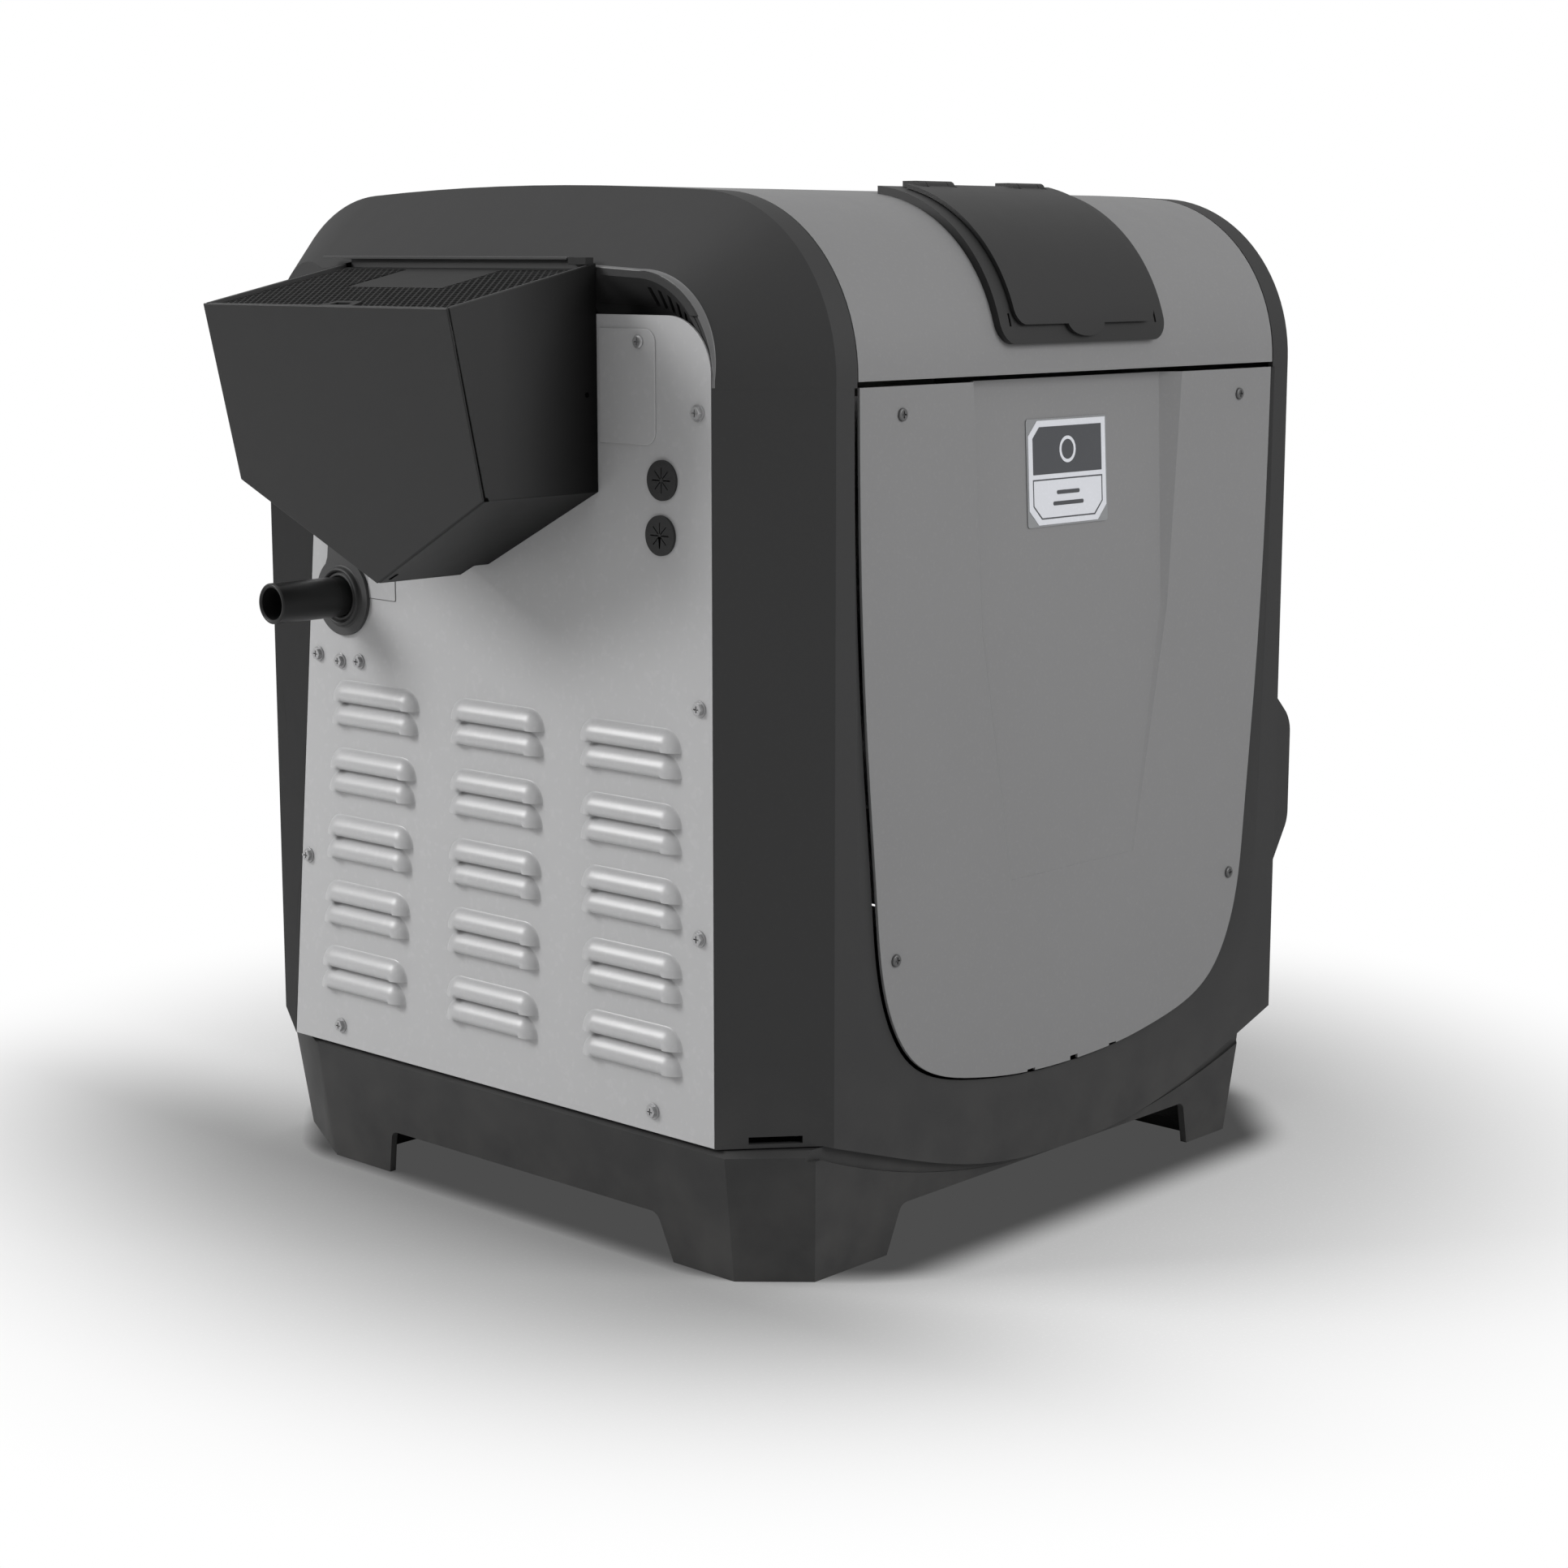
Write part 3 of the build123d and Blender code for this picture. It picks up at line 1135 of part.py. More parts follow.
frame_corners = [(sx * 235, y) for sx in (-1, 1) for y in (-225, 225)]
with BuildPart() as inner_frame:
    for x, y in frame_corners:
        sx = 1 if x > 0 else -1
        sy = 1 if y > 0 else -1
        add(block(sorted((x, x - sx * 24)), sorted((y, y - sy * 2)), (BASE_TOP_Z, 536)))
        add(block(sorted((x, x - sx * 2)), sorted((y, y - sy * 24)), (BASE_TOP_Z, 536)))
    for y in (-225, 223):
        add(block((-235, 235), (y, y + 2), (516, 536)))
    for x in (-235, 233):
        add(block((x, x + 2), (-225, 225), (BASE_TOP_Z, BASE_TOP_Z + 16)))
    add(block((-126, -122), (-160, 100), (BASE_TOP_Z, 125)))
inner_frame.part.label = "inner_frame"
export_step(inner_frame.part, "parts/inner_frame.step")
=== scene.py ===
"""Looks for the pool heater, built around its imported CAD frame. Metres, the row's own frame."""

import json
from math import asin, atan2, cos, pi, radians, sin, sqrt

import bmesh
import bpy
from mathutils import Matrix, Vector


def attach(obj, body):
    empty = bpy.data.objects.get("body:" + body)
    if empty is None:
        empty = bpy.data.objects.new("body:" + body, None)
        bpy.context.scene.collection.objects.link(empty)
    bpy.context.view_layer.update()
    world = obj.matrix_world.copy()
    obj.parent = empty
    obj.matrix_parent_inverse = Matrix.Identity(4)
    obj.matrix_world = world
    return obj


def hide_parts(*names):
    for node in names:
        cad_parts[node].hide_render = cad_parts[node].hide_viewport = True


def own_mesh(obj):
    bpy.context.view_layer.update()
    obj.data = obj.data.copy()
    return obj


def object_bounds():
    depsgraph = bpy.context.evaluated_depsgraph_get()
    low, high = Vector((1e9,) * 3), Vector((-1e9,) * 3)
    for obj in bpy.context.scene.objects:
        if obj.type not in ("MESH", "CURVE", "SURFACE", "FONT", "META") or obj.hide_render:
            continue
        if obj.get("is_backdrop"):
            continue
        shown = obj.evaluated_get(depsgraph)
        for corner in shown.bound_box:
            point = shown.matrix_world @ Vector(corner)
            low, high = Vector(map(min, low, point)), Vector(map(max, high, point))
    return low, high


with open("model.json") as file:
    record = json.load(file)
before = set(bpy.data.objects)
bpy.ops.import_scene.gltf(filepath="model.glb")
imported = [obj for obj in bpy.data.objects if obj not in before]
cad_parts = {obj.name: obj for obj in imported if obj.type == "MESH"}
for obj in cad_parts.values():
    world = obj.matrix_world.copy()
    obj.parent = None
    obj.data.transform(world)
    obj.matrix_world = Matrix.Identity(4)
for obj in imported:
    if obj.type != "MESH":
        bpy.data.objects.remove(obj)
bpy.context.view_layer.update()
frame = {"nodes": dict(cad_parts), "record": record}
MM = 0.001

# the cabinet, in millimetres
HALF_W = 291.0
HALF_D = 257.0
SKIRT_Z = 87.0
SHEET = 1.5
SHEET_TOP_Z = 585.0
REAR_TOP_Z = 545.5
SHEET_CORNER_R = 35.0
CHAMFER = 47.5
CORNER_R = 110.0
CORNER_Y = 147.0
DOME_R = 2500.0
DOME_Z = 662.5 - DOME_R
CORNER_Z = DOME_Z + sqrt((DOME_R - CORNER_R) ** 2 - CORNER_Y**2)
GAS_Y, GAS_Z = 128.8, 397.0
VENT_Z, VENT_R = 515.0, 50.8

# louvres: in pairs, down five rows on the left panel
LOUVRE_LENGTH = 86.0
LOUVRE_WIDTH = 13.0
LOUVRE_RISE = 5.5
PAIR_DROP = 15.5
ROW_DROP = 46.0
TOP_ROW_Z = 333.5
PLAIN_ROW_DROP = 31.0

# exhaust hood: its sides, the tip of its V and the corners of its sides
HOOD_REACH = 408.9
NEAR, FAR, TIP_Y, TIP_Z = -114.8, 113.6, -1.5, 421.5
SIDE_NEAR_Z, SIDE_FAR_Z, TOP_Z = 479.0, 480.0, 590.0
HOOD_SHEET = 1.5
FACE_LAP = 1.9
FACE_RELIEF = 0.6
NOTCH_Z, NOTCH_DEEP = 428.0, 12.0
DRAIN_SLOT = (-365.0, -10.2, 425.9)
SIDE_HOLE = (-300.0, 537.3)
GRILLE_HALF, GRILLE_FRONT, GRILLE_BACK = 112.0, 4.0, 114.0
LABEL_LEFT, LABEL_RIGHT, LABEL_FRONT = -43.0, 45.0, 60.0

# badge
BADGE_X, BADGE_Z, BADGE_SEAT, BADGE_TILT = -5.0, 483.0, 7.42, 0.0497

# studio, in metres and watts
WORLD_LIGHT = (0.28, 0.74)
FLOOR_WHITE = 0.62
FLOOR_FADE = (0.38, 0.76)
FOOTPRINT = 0.266
SHADE_LEVEL = 0.0723
LIGHTS = [
    ("top_box", (0.0, 0.3, 2.6), 1.2, 9),
    ("front_box", (0.4, -2.6, 1.6), 1.6, 52),
    ("left_rear_box", (-2.0, 1.6, 1.65), 1.0, 52),
]
CAMERA_PLACE = (-1.5355, -1.4118, 0.6239)
CAMERA_TURN = (79.775, 0, -47.3725)
CAMERA_LENS = 68.27


# ---------------------------------------------------------------- materials
class Nodes:
    """A node tree with short ways to add nodes and join them."""

    def __init__(self, tree):
        self.tree = tree

    def add(self, kind, **settings):
        node = self.tree.nodes.new("ShaderNode" + kind)
        for name, value in settings.items():
            setattr(node, name, value)
        return node

    def feed(self, socket, value):
        """Links an output to a socket, or gives the socket a plain number or colour."""
        if isinstance(value, bpy.types.NodeSocket):
            self.tree.links.new(value, socket)
        elif isinstance(value, tuple) and socket.type == "RGBA":
            socket.default_value = (*value, 1.0)
        else:
            socket.default_value = value

    def fed(self, kind, inputs, output, **settings):
        """The output of a new node with its named inputs fed."""
        node = self.add(kind, **settings)
        for name, value in inputs.items():
            self.feed(node.inputs[name], value)
        return node.outputs[output]

    def maths(self, operation, *values):
        node = self.add("Math", operation=operation)
        for socket, value in zip(node.inputs, values):
            self.feed(socket, value)
        return node.outputs["Value"]

    def remap(self, value, low, high, to_low, to_high, curve="LINEAR"):
        ends = {"Value": value, "From Min": low, "From Max": high, "To Min": to_low, "To Max": to_high}
        return self.fed("MapRange", ends, "Result", interpolation_type=curve)

    def mix(self, factor, a, b):
        return self.fed("Mix", {"Factor": factor, "A": a, "B": b}, "Result", data_type="RGBA")

    def blend(self, factor, a, b):
        """Mixes two shaders."""
        node = self.add("MixShader")
        for socket, value in zip(node.inputs, (factor, a, b)):
            self.feed(socket, value)
        return node.outputs["Shader"]

    def glow(self, level):
        return self.fed("Emission", {"Color": (level, level, level)}, "Emission")

    def axes(self, kind="Object"):
        """X, Y and Z of a texture coordinate."""
        coords = self.add("TexCoord")
        return self.fed("SeparateXYZ", {"Vector": coords.outputs[kind]}, "X").node.outputs

    def seen(self):
        return self.add("LightPath").outputs["Is Camera Ray"]


def surface(name, color, roughness, metallic=0.0, specular=0.35, mottle=0.012, mottle_scale=9.0,
            grain=0.15, grain_scale=900.0, grain_depth=0.00004, rough_spread=0.025,
            stretch=(1, 1, 1), dust=0.0, painted_shade=None):
    """A solid finish: broad colour mottle, fine grain, dust low down and painted shade along X."""
    mat = bpy.data.materials.new(name)
    mat.use_nodes = True
    nodes = Nodes(mat.node_tree)
    shader = mat.node_tree.nodes["Principled BSDF"].inputs
    nodes.feed(shader["Metallic"], metallic)
    nodes.feed(shader["Specular IOR Level"], specular)
    coords = nodes.add("TexCoord").outputs["Object"]
    place = nodes.fed("Mapping", {"Vector": coords, "Scale": stretch}, "Vector")

    def noise(scale, detail):
        return nodes.fed("TexNoise", {"Vector": place, "Scale": scale, "Detail": detail}, "Fac")

    dark = tuple(channel * (1 - mottle) for channel in color)
    light = tuple(min(1.0, channel * (1 + mottle)) for channel in color)
    speckle = tuple(min(1.0, channel * (1.06 + 2 * mottle)) for channel in color)
    tint = nodes.mix(nodes.remap(noise(mottle_scale, 4.0), 0.3, 0.7, 0.0, 1.0), dark, light)
    tint = nodes.mix(nodes.remap(noise(grain_scale * 0.5, 2.0), 0.55, 0.7, 0.0, 0.6), tint, speckle)
    if dust:
        low = nodes.remap(nodes.axes()["Z"], 0.0, 0.14, dust, 0.0)
        patches = nodes.remap(noise(30.0, 6.0), 0.35, 0.7, 0.15, 1.0)
        tint = nodes.mix(nodes.maths("MULTIPLY", low, patches), tint, (0.42, 0.40, 0.37))
    # painted shade: colour darkened and reflection cut between two X positions, standing in for shade
    if painted_shade:
        start, end, strength = painted_shade
        near = nodes.remap(nodes.axes()["X"], start, end, 0.0, strength)
        tint = nodes.mix(near, tint, (0.003, 0.003, 0.003))
        nodes.feed(shader["Specular IOR Level"], nodes.remap(near, 0.0, 1.0, specular, 0.02))
    nodes.feed(shader["Base Color"], tint)
    rough = (roughness - rough_spread, roughness + rough_spread)
    nodes.feed(shader["Roughness"], nodes.remap(noise(mottle_scale * 6, 5.0), 0.3, 0.7, *rough))
    bump = {"Strength": grain, "Distance": grain_depth, "Height": noise(grain_scale, 3.0)}
    nodes.feed(shader["Normal"], nodes.fed("Bump", bump, "Normal"))
    return mat


def grey(level):
    return (level, level, level * 1.01)


FINISH = {
    "dark_trim": surface("moulded_trim", grey(0.0245), 0.55, rough_spread=0.012, specular=0.22, grain=0.3,
                         dust=0.05),
    "grey_shell": surface("grey_shell", grey(0.158), 0.50, grain=0.2),
    "light_sheet": surface("light_powder_coat", grey(0.385), 0.33, rough_spread=0.015, specular=0.5,
                           grain=0.2, grain_scale=450.0, grain_depth=0.00006, dust=0.04),
    "hood_paint": surface("dark_powder_coat", grey(0.012), 0.50, rough_spread=0.008, specular=0.3, grain=0.25,
                          grain_scale=450.0),
    "black_rubber": surface("black_rubber", grey(0.022), 0.55, grain=0.3, grain_scale=1400.0),
    "black_pipe": surface("black_pipe", grey(0.009), 0.38, grain=0.35, grain_scale=300.0),
    "zinc_screw": surface("zinc_screw", grey(0.36), 0.4, metallic=0.6),
    "badge_face": surface("badge_film", (0.52, 0.53, 0.56), 0.3, mottle=0.01, grain=0.05),
    "cover_plastic": surface("cover_plastic", grey(0.011), 0.46, rough_spread=0.01, grain=0.3,
                             grain_scale=1300.0),
    "button_rubber": surface("button_rubber", (0.10, 0.10, 0.11), 0.58, grain=0.25, grain_scale=1500.0),
    "display_glass": surface("display_glass", (0.012, 0.02, 0.02), 0.1, mottle=0.02, grain=0.02,
                             rough_spread=0.02),
    "header_plastic": surface("header_plastic", grey(0.026), 0.5, grain=0.35, grain_scale=700.0),
    "spring_steel": surface("spring_steel", (0.5, 0.5, 0.52), 0.3, metallic=1.0),
    "brass_parts": surface("brass", (0.60, 0.43, 0.17), 0.3, metallic=1.0, mottle=0.12),
    "lever_steel": surface("lever_steel", grey(0.45), 0.32, metallic=1.0, stretch=(1, 30, 30)),
    "copper_fins": surface("copper", (0.70, 0.33, 0.20), 0.32, metallic=1.0, mottle=0.18),
    "plain_steel": surface("galvanised_steel", grey(0.46), 0.42, metallic=1.0, mottle=0.15,
                           mottle_scale=60.0),
    "cast_alloy": surface("cast_alloy", grey(0.5), 0.5, metallic=1.0, grain=0.5, grain_scale=500.0),
    "probe_ceramic": surface("probe_ceramic", (0.82, 0.8, 0.74), 0.3, grain=0.05),
    "motor_black": surface("motor_black", grey(0.03), 0.5, grain=0.3),
    "knob_red": surface("knob_red", (0.42, 0.035, 0.03), 0.4, grain=0.2),
    "flue_steel": surface("flue_steel", (0.5, 0.49, 0.48), 0.36, metallic=1.0, stretch=(40, 1, 1)),
    "board_green": surface("board_green", (0.02, 0.14, 0.06), 0.4, grain=0.3),
}
# painted shade: the rear posts' trim is the same plastic as the other trim, made darker and less shiny to
# stand in for shade
POST_TRIM_PAINTED_SHADE = surface("post_trim_painted_shade", grey(0.017), 0.7, rough_spread=0.01, specular=0.08, grain=0.3)
DARK_SCREW = surface("dark_screw", grey(0.10), 0.45, metallic=0.6)
# painted highlight: the cap's own plastic made much lighter along the mouth's lip
LIP_PAINTED_HIGHLIGHT = surface("mouth_lip", grey(0.10), 0.42, rough_spread=0.01, grain=0.2)
# painted shade: the cap's plastic made darker and duller on the throat wall inside the mouth
THROAT_PAINTED_SHADE = surface("cap_throat", grey(0.014), 0.6, rough_spread=0.01, specular=0.1, grain=0.2)
# painted shade: near-black finish for thin plates set where slots and holes stand, for the shade inside them
HOLE_PAINTED_SHADE = surface("throat_slot", grey(0.0015), 0.8, rough_spread=0.01, specular=0.0, grain=0.1)
# hood walls carry painted shade, darker and less shiny towards the cabinet
HOOD_WALLS = surface("dark_powder_coat_walls", grey(0.013), 0.50, rough_spread=0.008, specular=0.3,
                     grain=0.25, grain_scale=450.0, painted_shade=(-0.37, -0.296, 0.85))
# painted highlight: the hood's paint made lighter on its hems and lip bars
HOOD_RIM_PAINTED_HIGHLIGHT = surface("hood_rim_painted_highlight", grey(0.03), 0.4, rough_spread=0.01, grain=0.2)
HOOD_MESH = surface("dark_mesh_coat", grey(0.007), 0.6, rough_spread=0.01, specular=0.25, grain=0.2)
FLANGE_RUBBER = surface("rubber_flange", grey(0.045), 0.5, grain=0.3, grain_scale=1400.0)
TAG_LINE = surface("tag_outline", grey(0.10), 0.5)
DARK_FILM = surface("badge_dark_film", (0.055, 0.057, 0.062), 0.3, mottle=0.01, grain=0.05)
SILVER_FILM = surface("badge_silver_print", (0.19, 0.195, 0.20), 0.35, mottle=0.01, grain=0.05)
SLOT_OF = {entry["node"]: entry["material_slot"] for entry in frame["record"]["subparts"]}
for node_name, slot_name in SLOT_OF.items():
    node = frame["nodes"][node_name]
    node.data.materials.clear()
    node.data.materials.append(FINISH[slot_name])


# ---------------------------------------------------------------- mesh helpers
def as_piece(name, mesh, slot, body, replaces=(), material=None, smooth=35.0):
    """Adds a mesh to the scene as a piece that rides on a body and stands for CAD nodes."""
    obj = bpy.data.objects.new(name, mesh)
    bpy.context.scene.collection.objects.link(obj)
    mesh.materials.clear()
    mesh.materials.append(material or FINISH[slot])
    if smooth:
        mesh.shade_smooth()
        mesh.set_sharp_from_angle(angle=radians(smooth))
    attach(obj, body)
    if replaces:
        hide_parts(*replaces)
    return obj


def from_lists(name, verts, faces):
    """Mesh from points in millimetres."""
    mesh = bpy.data.meshes.new(name)
    mesh.from_pydata([tuple(c * MM for c in v) for v in verts], [], faces)
    mesh.validate()
    return mesh


def bevelled(obj, width, segments=2, angle=30.0):
    """Rounds an object's sharp edges; width in millimetres."""
    mod = obj.modifiers.new("edge_round", "BEVEL")
    mod.width = width * MM
    mod.segments = segments
    mod.limit_method = "ANGLE"
    mod.angle_limit = radians(angle)
    mod.miter_outer = "MITER_ARC"
    even = obj.modifiers.new("even_shading", "WEIGHTED_NORMAL")
    even.keep_sharp = True
    return obj


def settle(obj):
    """Applies an object's modifiers, so its mesh is the finished shape."""
    bpy.context.view_layer.update()
    done = bpy.data.meshes.new_from_object(obj.evaluated_get(bpy.context.evaluated_depsgraph_get()))
    obj.modifiers.clear()
    obj.data = done
    return obj


def thickened(obj, thickness):
    """Gives a sheet its thickness, inward; millimetres."""
    mod = obj.modifiers.new("thickness", "SOLIDIFY")
    mod.thickness = thickness * MM
    mod.offset = -1.0
    mod.use_even_offset = True
    return settle(obj)


def refined(node, width, segments=2, angle=30.0, body="cabinet", smooth=35.0, material=None):
    """A copy of a CAD node with clean flats and rounded edges, standing for it."""
    bm = bmesh.new()
    bm.from_mesh(frame["nodes"][node].data)
    bmesh.ops.remove_doubles(bm, verts=bm.verts, dist=2e-6)
    bmesh.ops.dissolve_limit(bm, angle_limit=radians(0.6), verts=bm.verts, edges=bm.edges)
    bm.verts.index_update()
    verts = [tuple(v.co) for v in bm.verts]
    faces = [[v.index for v in f.verts] for f in bm.faces]
    bm.free()
    mesh = bpy.data.meshes.new(node + "_finished")
    mesh.from_pydata(verts, [], faces)
    obj = as_piece(node + "_finished", mesh, SLOT_OF[node], body, (node,), material, smooth)
    if width:
        bevelled(obj, width, segments, angle)
    return obj


def joined(parts):
    """Verts and faces of several (verts, faces) lists as one."""
    verts, faces = [], []
    for part_verts, part_faces in parts:
        start = len(verts)
        verts += part_verts
        faces += [[i + start for i in face] for face in part_faces]
    return verts, faces


def grid_faces(rows, columns, closed=False):
    """Quads of a grid of rows by columns points; closed joins the last row to the first."""
    faces = []
    for i in range(rows if closed else rows - 1):
        for j in range(columns - 1):
            a, b = i * columns + j, (i + 1) % rows * columns + j
            faces.append([a, b, b + 1, a + 1])
    return faces


def tube_ring(profile, centre, steps):
    """Surface of revolution about X through centre: profile is a list of (x, radius)."""
    verts = []
    for step in range(steps):
        turn = 2 * pi * step / steps
        for x, radius in profile:
            verts.append((x, centre[0] + radius * cos(turn), centre[1] + radius * sin(turn)))
    return verts, grid_faces(steps, len(profile), closed=True)


def prism(loop, lift):
    """Closed prism on a loop of points, raised by a vector."""
    count = len(loop)
    verts = [tuple(p) for p in loop] + [tuple(Vector(p) + Vector(lift)) for p in loop]
    faces = [list(reversed(range(count))), [count + i for i in range(count)]]
    faces += [[i, (i + 1) % count, count + (i + 1) % count, count + i] for i in range(count)]
    return verts, faces


def flat_plate(name, outline, holes, place, thickness):
    """Flat plate of a thickness, from 2-D outlines in millimetres laid out by place(u, v, w)."""
    data = bpy.data.curves.new(name, "CURVE")
    data.dimensions = "2D"
    data.fill_mode = "BOTH"
    data.extrude = thickness / 2 * MM
    for loop in [outline, *holes]:
        spline = data.splines.new("POLY")
        spline.points.add(len(loop) - 1)
        for point, (u, v) in zip(spline.points, loop):
            point.co = (u * MM, v * MM, 0, 1)
        spline.use_cyclic_u = True
    shell = bpy.data.objects.new(name + "_curve", data)
    bpy.context.scene.collection.objects.link(shell)
    bpy.context.view_layer.update()
    mesh = bpy.data.meshes.new_from_object(shell.evaluated_get(bpy.context.evaluated_depsgraph_get()))
    bm = bmesh.new()
    bm.from_mesh(mesh)
    bmesh.ops.remove_doubles(bm, verts=bm.verts, dist=1e-6)
    bm.verts.index_update()
    verts = [place(v.co.x / MM, v.co.y / MM, v.co.z / MM) for v in bm.verts]
    faces = [[v.index for v in f.verts] for f in bm.faces]
    bm.free()
    bpy.data.objects.remove(shell)
    bpy.data.meshes.remove(mesh)
    return verts, faces


def circle(u, v, radius, steps=28):
    turns = [2 * pi * i / steps for i in range(steps)]
    return [(u + radius * cos(turn), v + radius * sin(turn)) for turn in turns]


def oblong(left, low, right, high):
    return [(left, low), (right, low), (right, high), (left, high)]


def rounded(points, radii, steps=8):
    """Polygon with its corners rounded; one radius per corner."""
    loop = []
    count = len(points)
    for i, radius in enumerate(radii):
        here, before, after = Vector(points[i]), Vector(points[i - 1]), Vector(points[(i + 1) % count])
        if not radius:
            loop.append(tuple(here))
            continue
        back, ahead = (before - here).normalized(), (after - here).normalized()
        half = back.angle(ahead) / 2
        reach = radius / abs(sin(half) / cos(half))
        centre = here + (back + ahead).normalized() * (radius / sin(half))
        start, end = here + back * reach - centre, here + ahead * reach - centre
        for k in range(steps + 1):
            spoke = start.lerp(end, k / steps).normalized() * radius
            loop.append(tuple(centre + spoke))
    return loop


def left_side(u, v, w):
    """Left panel plane: u along -Y, v up, w outward."""
    return (-HALF_W - w, -u, v)


def right_side(u, v, w):
    return (HALF_W + w, u, v)


def rear_side(u, v, w):
    return (-u, HALF_D + w, v)


# ---------------------------------------------------------------- louvred panels
def louvre_outline(u, v, length, width, steps=10):
    """Half-slot: flat lip below, ends rounded up to a straight top edge."""
    loop = []
    for side, begin in ((1, 0.0), (-1, pi / 2)):
        for k in range(steps + 1):
            turn = begin + k / steps * pi / 2
            loop.append((u + side * (length / 2 - width) + width * cos(turn), v + width * sin(turn)))
    return loop


def louvre_shell(u, v, place, lift):
    """One pressed louvre: a quarter-round hood, open along its lower lip, with its sheet thickness."""
    skin = 1.1
    foot = v - LOUVRE_WIDTH / 2
    half = LOUVRE_LENGTH / 2 - LOUVRE_WIDTH
    turns = 9
    spine = [(-half, pi - k / turns * pi / 2) for k in range(turns + 1)]
    spine += [(-half * (1 - k / 3.5), pi / 2) for k in range(1, 7)]
    spine += [(half, pi / 2 - k / turns * pi / 2) for k in range(turns + 1)]
    profile = [(-0.05, 0.22), (-0.045, 0.42), (-0.02, 0.62), (0.04, 0.80), (0.12, 0.93), (0.21, 0.99),
               (0.3, 1.0), (0.4, 0.975), (0.5, 0.92), (0.6, 0.835), (0.69, 0.735), (0.78, 0.61),
               (0.86, 0.475), (0.93, 0.325), (0.985, 0.17), (1.03, 0.05), (1.07, 0.0)]
    rows = []
    for along, turn in spine:
        across, up = LOUVRE_WIDTH * cos(turn), LOUVRE_WIDTH * sin(turn)
        outer = [(u + along + t * across, foot + t * up, h * lift) for t, h in profile]
        inner = [(a, b, max(height - skin, -SHEET + 0.2)) for a, b, height in reversed(outer)]
        rows.append(outer + inner)
    columns = len(rows[0])
    verts = [place(*point) for row in rows for point in row]
    faces = grid_faces(len(rows), columns)
    for start in range(0, len(verts) - columns, columns):
        faces.append([start + columns - 1, start + 2 * columns - 1, start + columns, start])
    for end in (0, len(rows) - 1):
        faces.append([end * columns + j for j in range(columns)])
    return verts, faces


def louvred_panel(node, outline, holes, spots, place, lift=LOUVRE_RISE + 0.8):
    """A flat sheet with its holes and pressed louvres, standing for a CAD panel."""
    slots = [louvre_outline(u, v - LOUVRE_WIDTH / 2, LOUVRE_LENGTH - 3, LOUVRE_WIDTH - 1.5) for u, v in spots]
    plate = flat_plate(node, outline, holes + slots, lambda u, v, w: place(u, v, w - SHEET / 2), SHEET)
    sheet = from_lists(node + "_sheet", *plate)
    as_piece(node + "_sheet", sheet, SLOT_OF[node], "cabinet", (node,), smooth=0)
    hoods = from_lists(node + "_louvres", *joined([louvre_shell(u, v, place, lift) for u, v in spots]))
    as_piece(node + "_louvres", hoods, SLOT_OF[node], "cabinet", smooth=50)


def side_outline(turn):
    """Outline of a side sheet, its front upper corner rounded; turn is 1 or -1 for which way u runs."""
    front = turn * (-HALF_D + CHAMFER + 0.5)
    low = SKIRT_Z + 0.5
    rear_low, rear_top = (turn * (203.0 - 0.0978 * z - 0.5) for z in (low, SHEET_TOP_Z))
    corners = [(front, SHEET_TOP_Z), (front, low), (rear_low, low), (rear_top, SHEET_TOP_Z)]
    return rounded(corners, [SHEET_CORNER_R, 0, 0, 0], steps=14)


def plain_spots(columns, rows, top_z):
    """Places of louvre pairs in straight columns."""
    pairs = [(u, top_z - row * PLAIN_ROW_DROP) for u in columns for row in range(rows)]
    return [(u, v - drop) for u, v in pairs for drop in (0, PAIR_DROP)]


left_spots = []
for tip_y, lean in ((56.1, 0.101), (-62.9, 0.052), (-182.6, 0.004)):
    for row in range(5):
        for drop in (0, PAIR_DROP):
            fall = row * ROW_DROP + drop
            left_spots.append((-(tip_y + lean * fall + LOUVRE_LENGTH / 2), TOP_ROW_Z - fall))
left_holes = [circle(169.5, 488.8, 10.5), circle(167.8, 456.1, 10.5), circle(-GAS_Y, GAS_Z, 21, 40),
              circle(0, VENT_Z, VENT_R + 1.5, 60)]
right_holes = [oblong(-133, 194, 77, 286), circle(120, 350, 14)]
louvred_panel("louvre_panel", side_outline(-1), left_holes, left_spots, left_side)
louvred_panel("right_panel", side_outline(1), right_holes, plain_spots((-60, 50), 3, 500), right_side)
louvred_panel("rear_panel", oblong(-217, SKIRT_Z + 0.5, 217, REAR_TOP_Z), [],
              plain_spots((-120, 0, 120), 4, 300), rear_side, LOUVRE_RISE)


# ---------------------------------------------------------------- moulded cabinet
refined("base", 1.6, 3)
refined("front_surround", 0.6)
# rear posts in the darker copy of the trim: painted shade
refined("rear_posts", 1.2, material=POST_TRIM_PAINTED_SHADE)
refined("end_cap_left", 1.4, 3)
refined("end_cap_right", 1.4, 3)
refined("lid", 0.8)
refined("front_panel", 0.5)
refined("access_plate", 0.3)
refined("header_cover", 1.0)
screws = refined("cabinet_screws", 0.25, angle=40)
screws.data.materials.append(DARK_SCREW)
for polygon in screws.data.polygons:
    polygon.material_index = int(polygon.center.y < -0.25)
refined("gas_pipe", 0.6, 3)
refined("wiring_grommets", 0.35)
refined("control_bezel", 1.2, 3)
refined("control_cover", 0.8, 3, body="control_cover")
refined("keypad_housing", 0.6)
spring = refined("bypass_spring", 0, smooth=60)
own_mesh(spring)


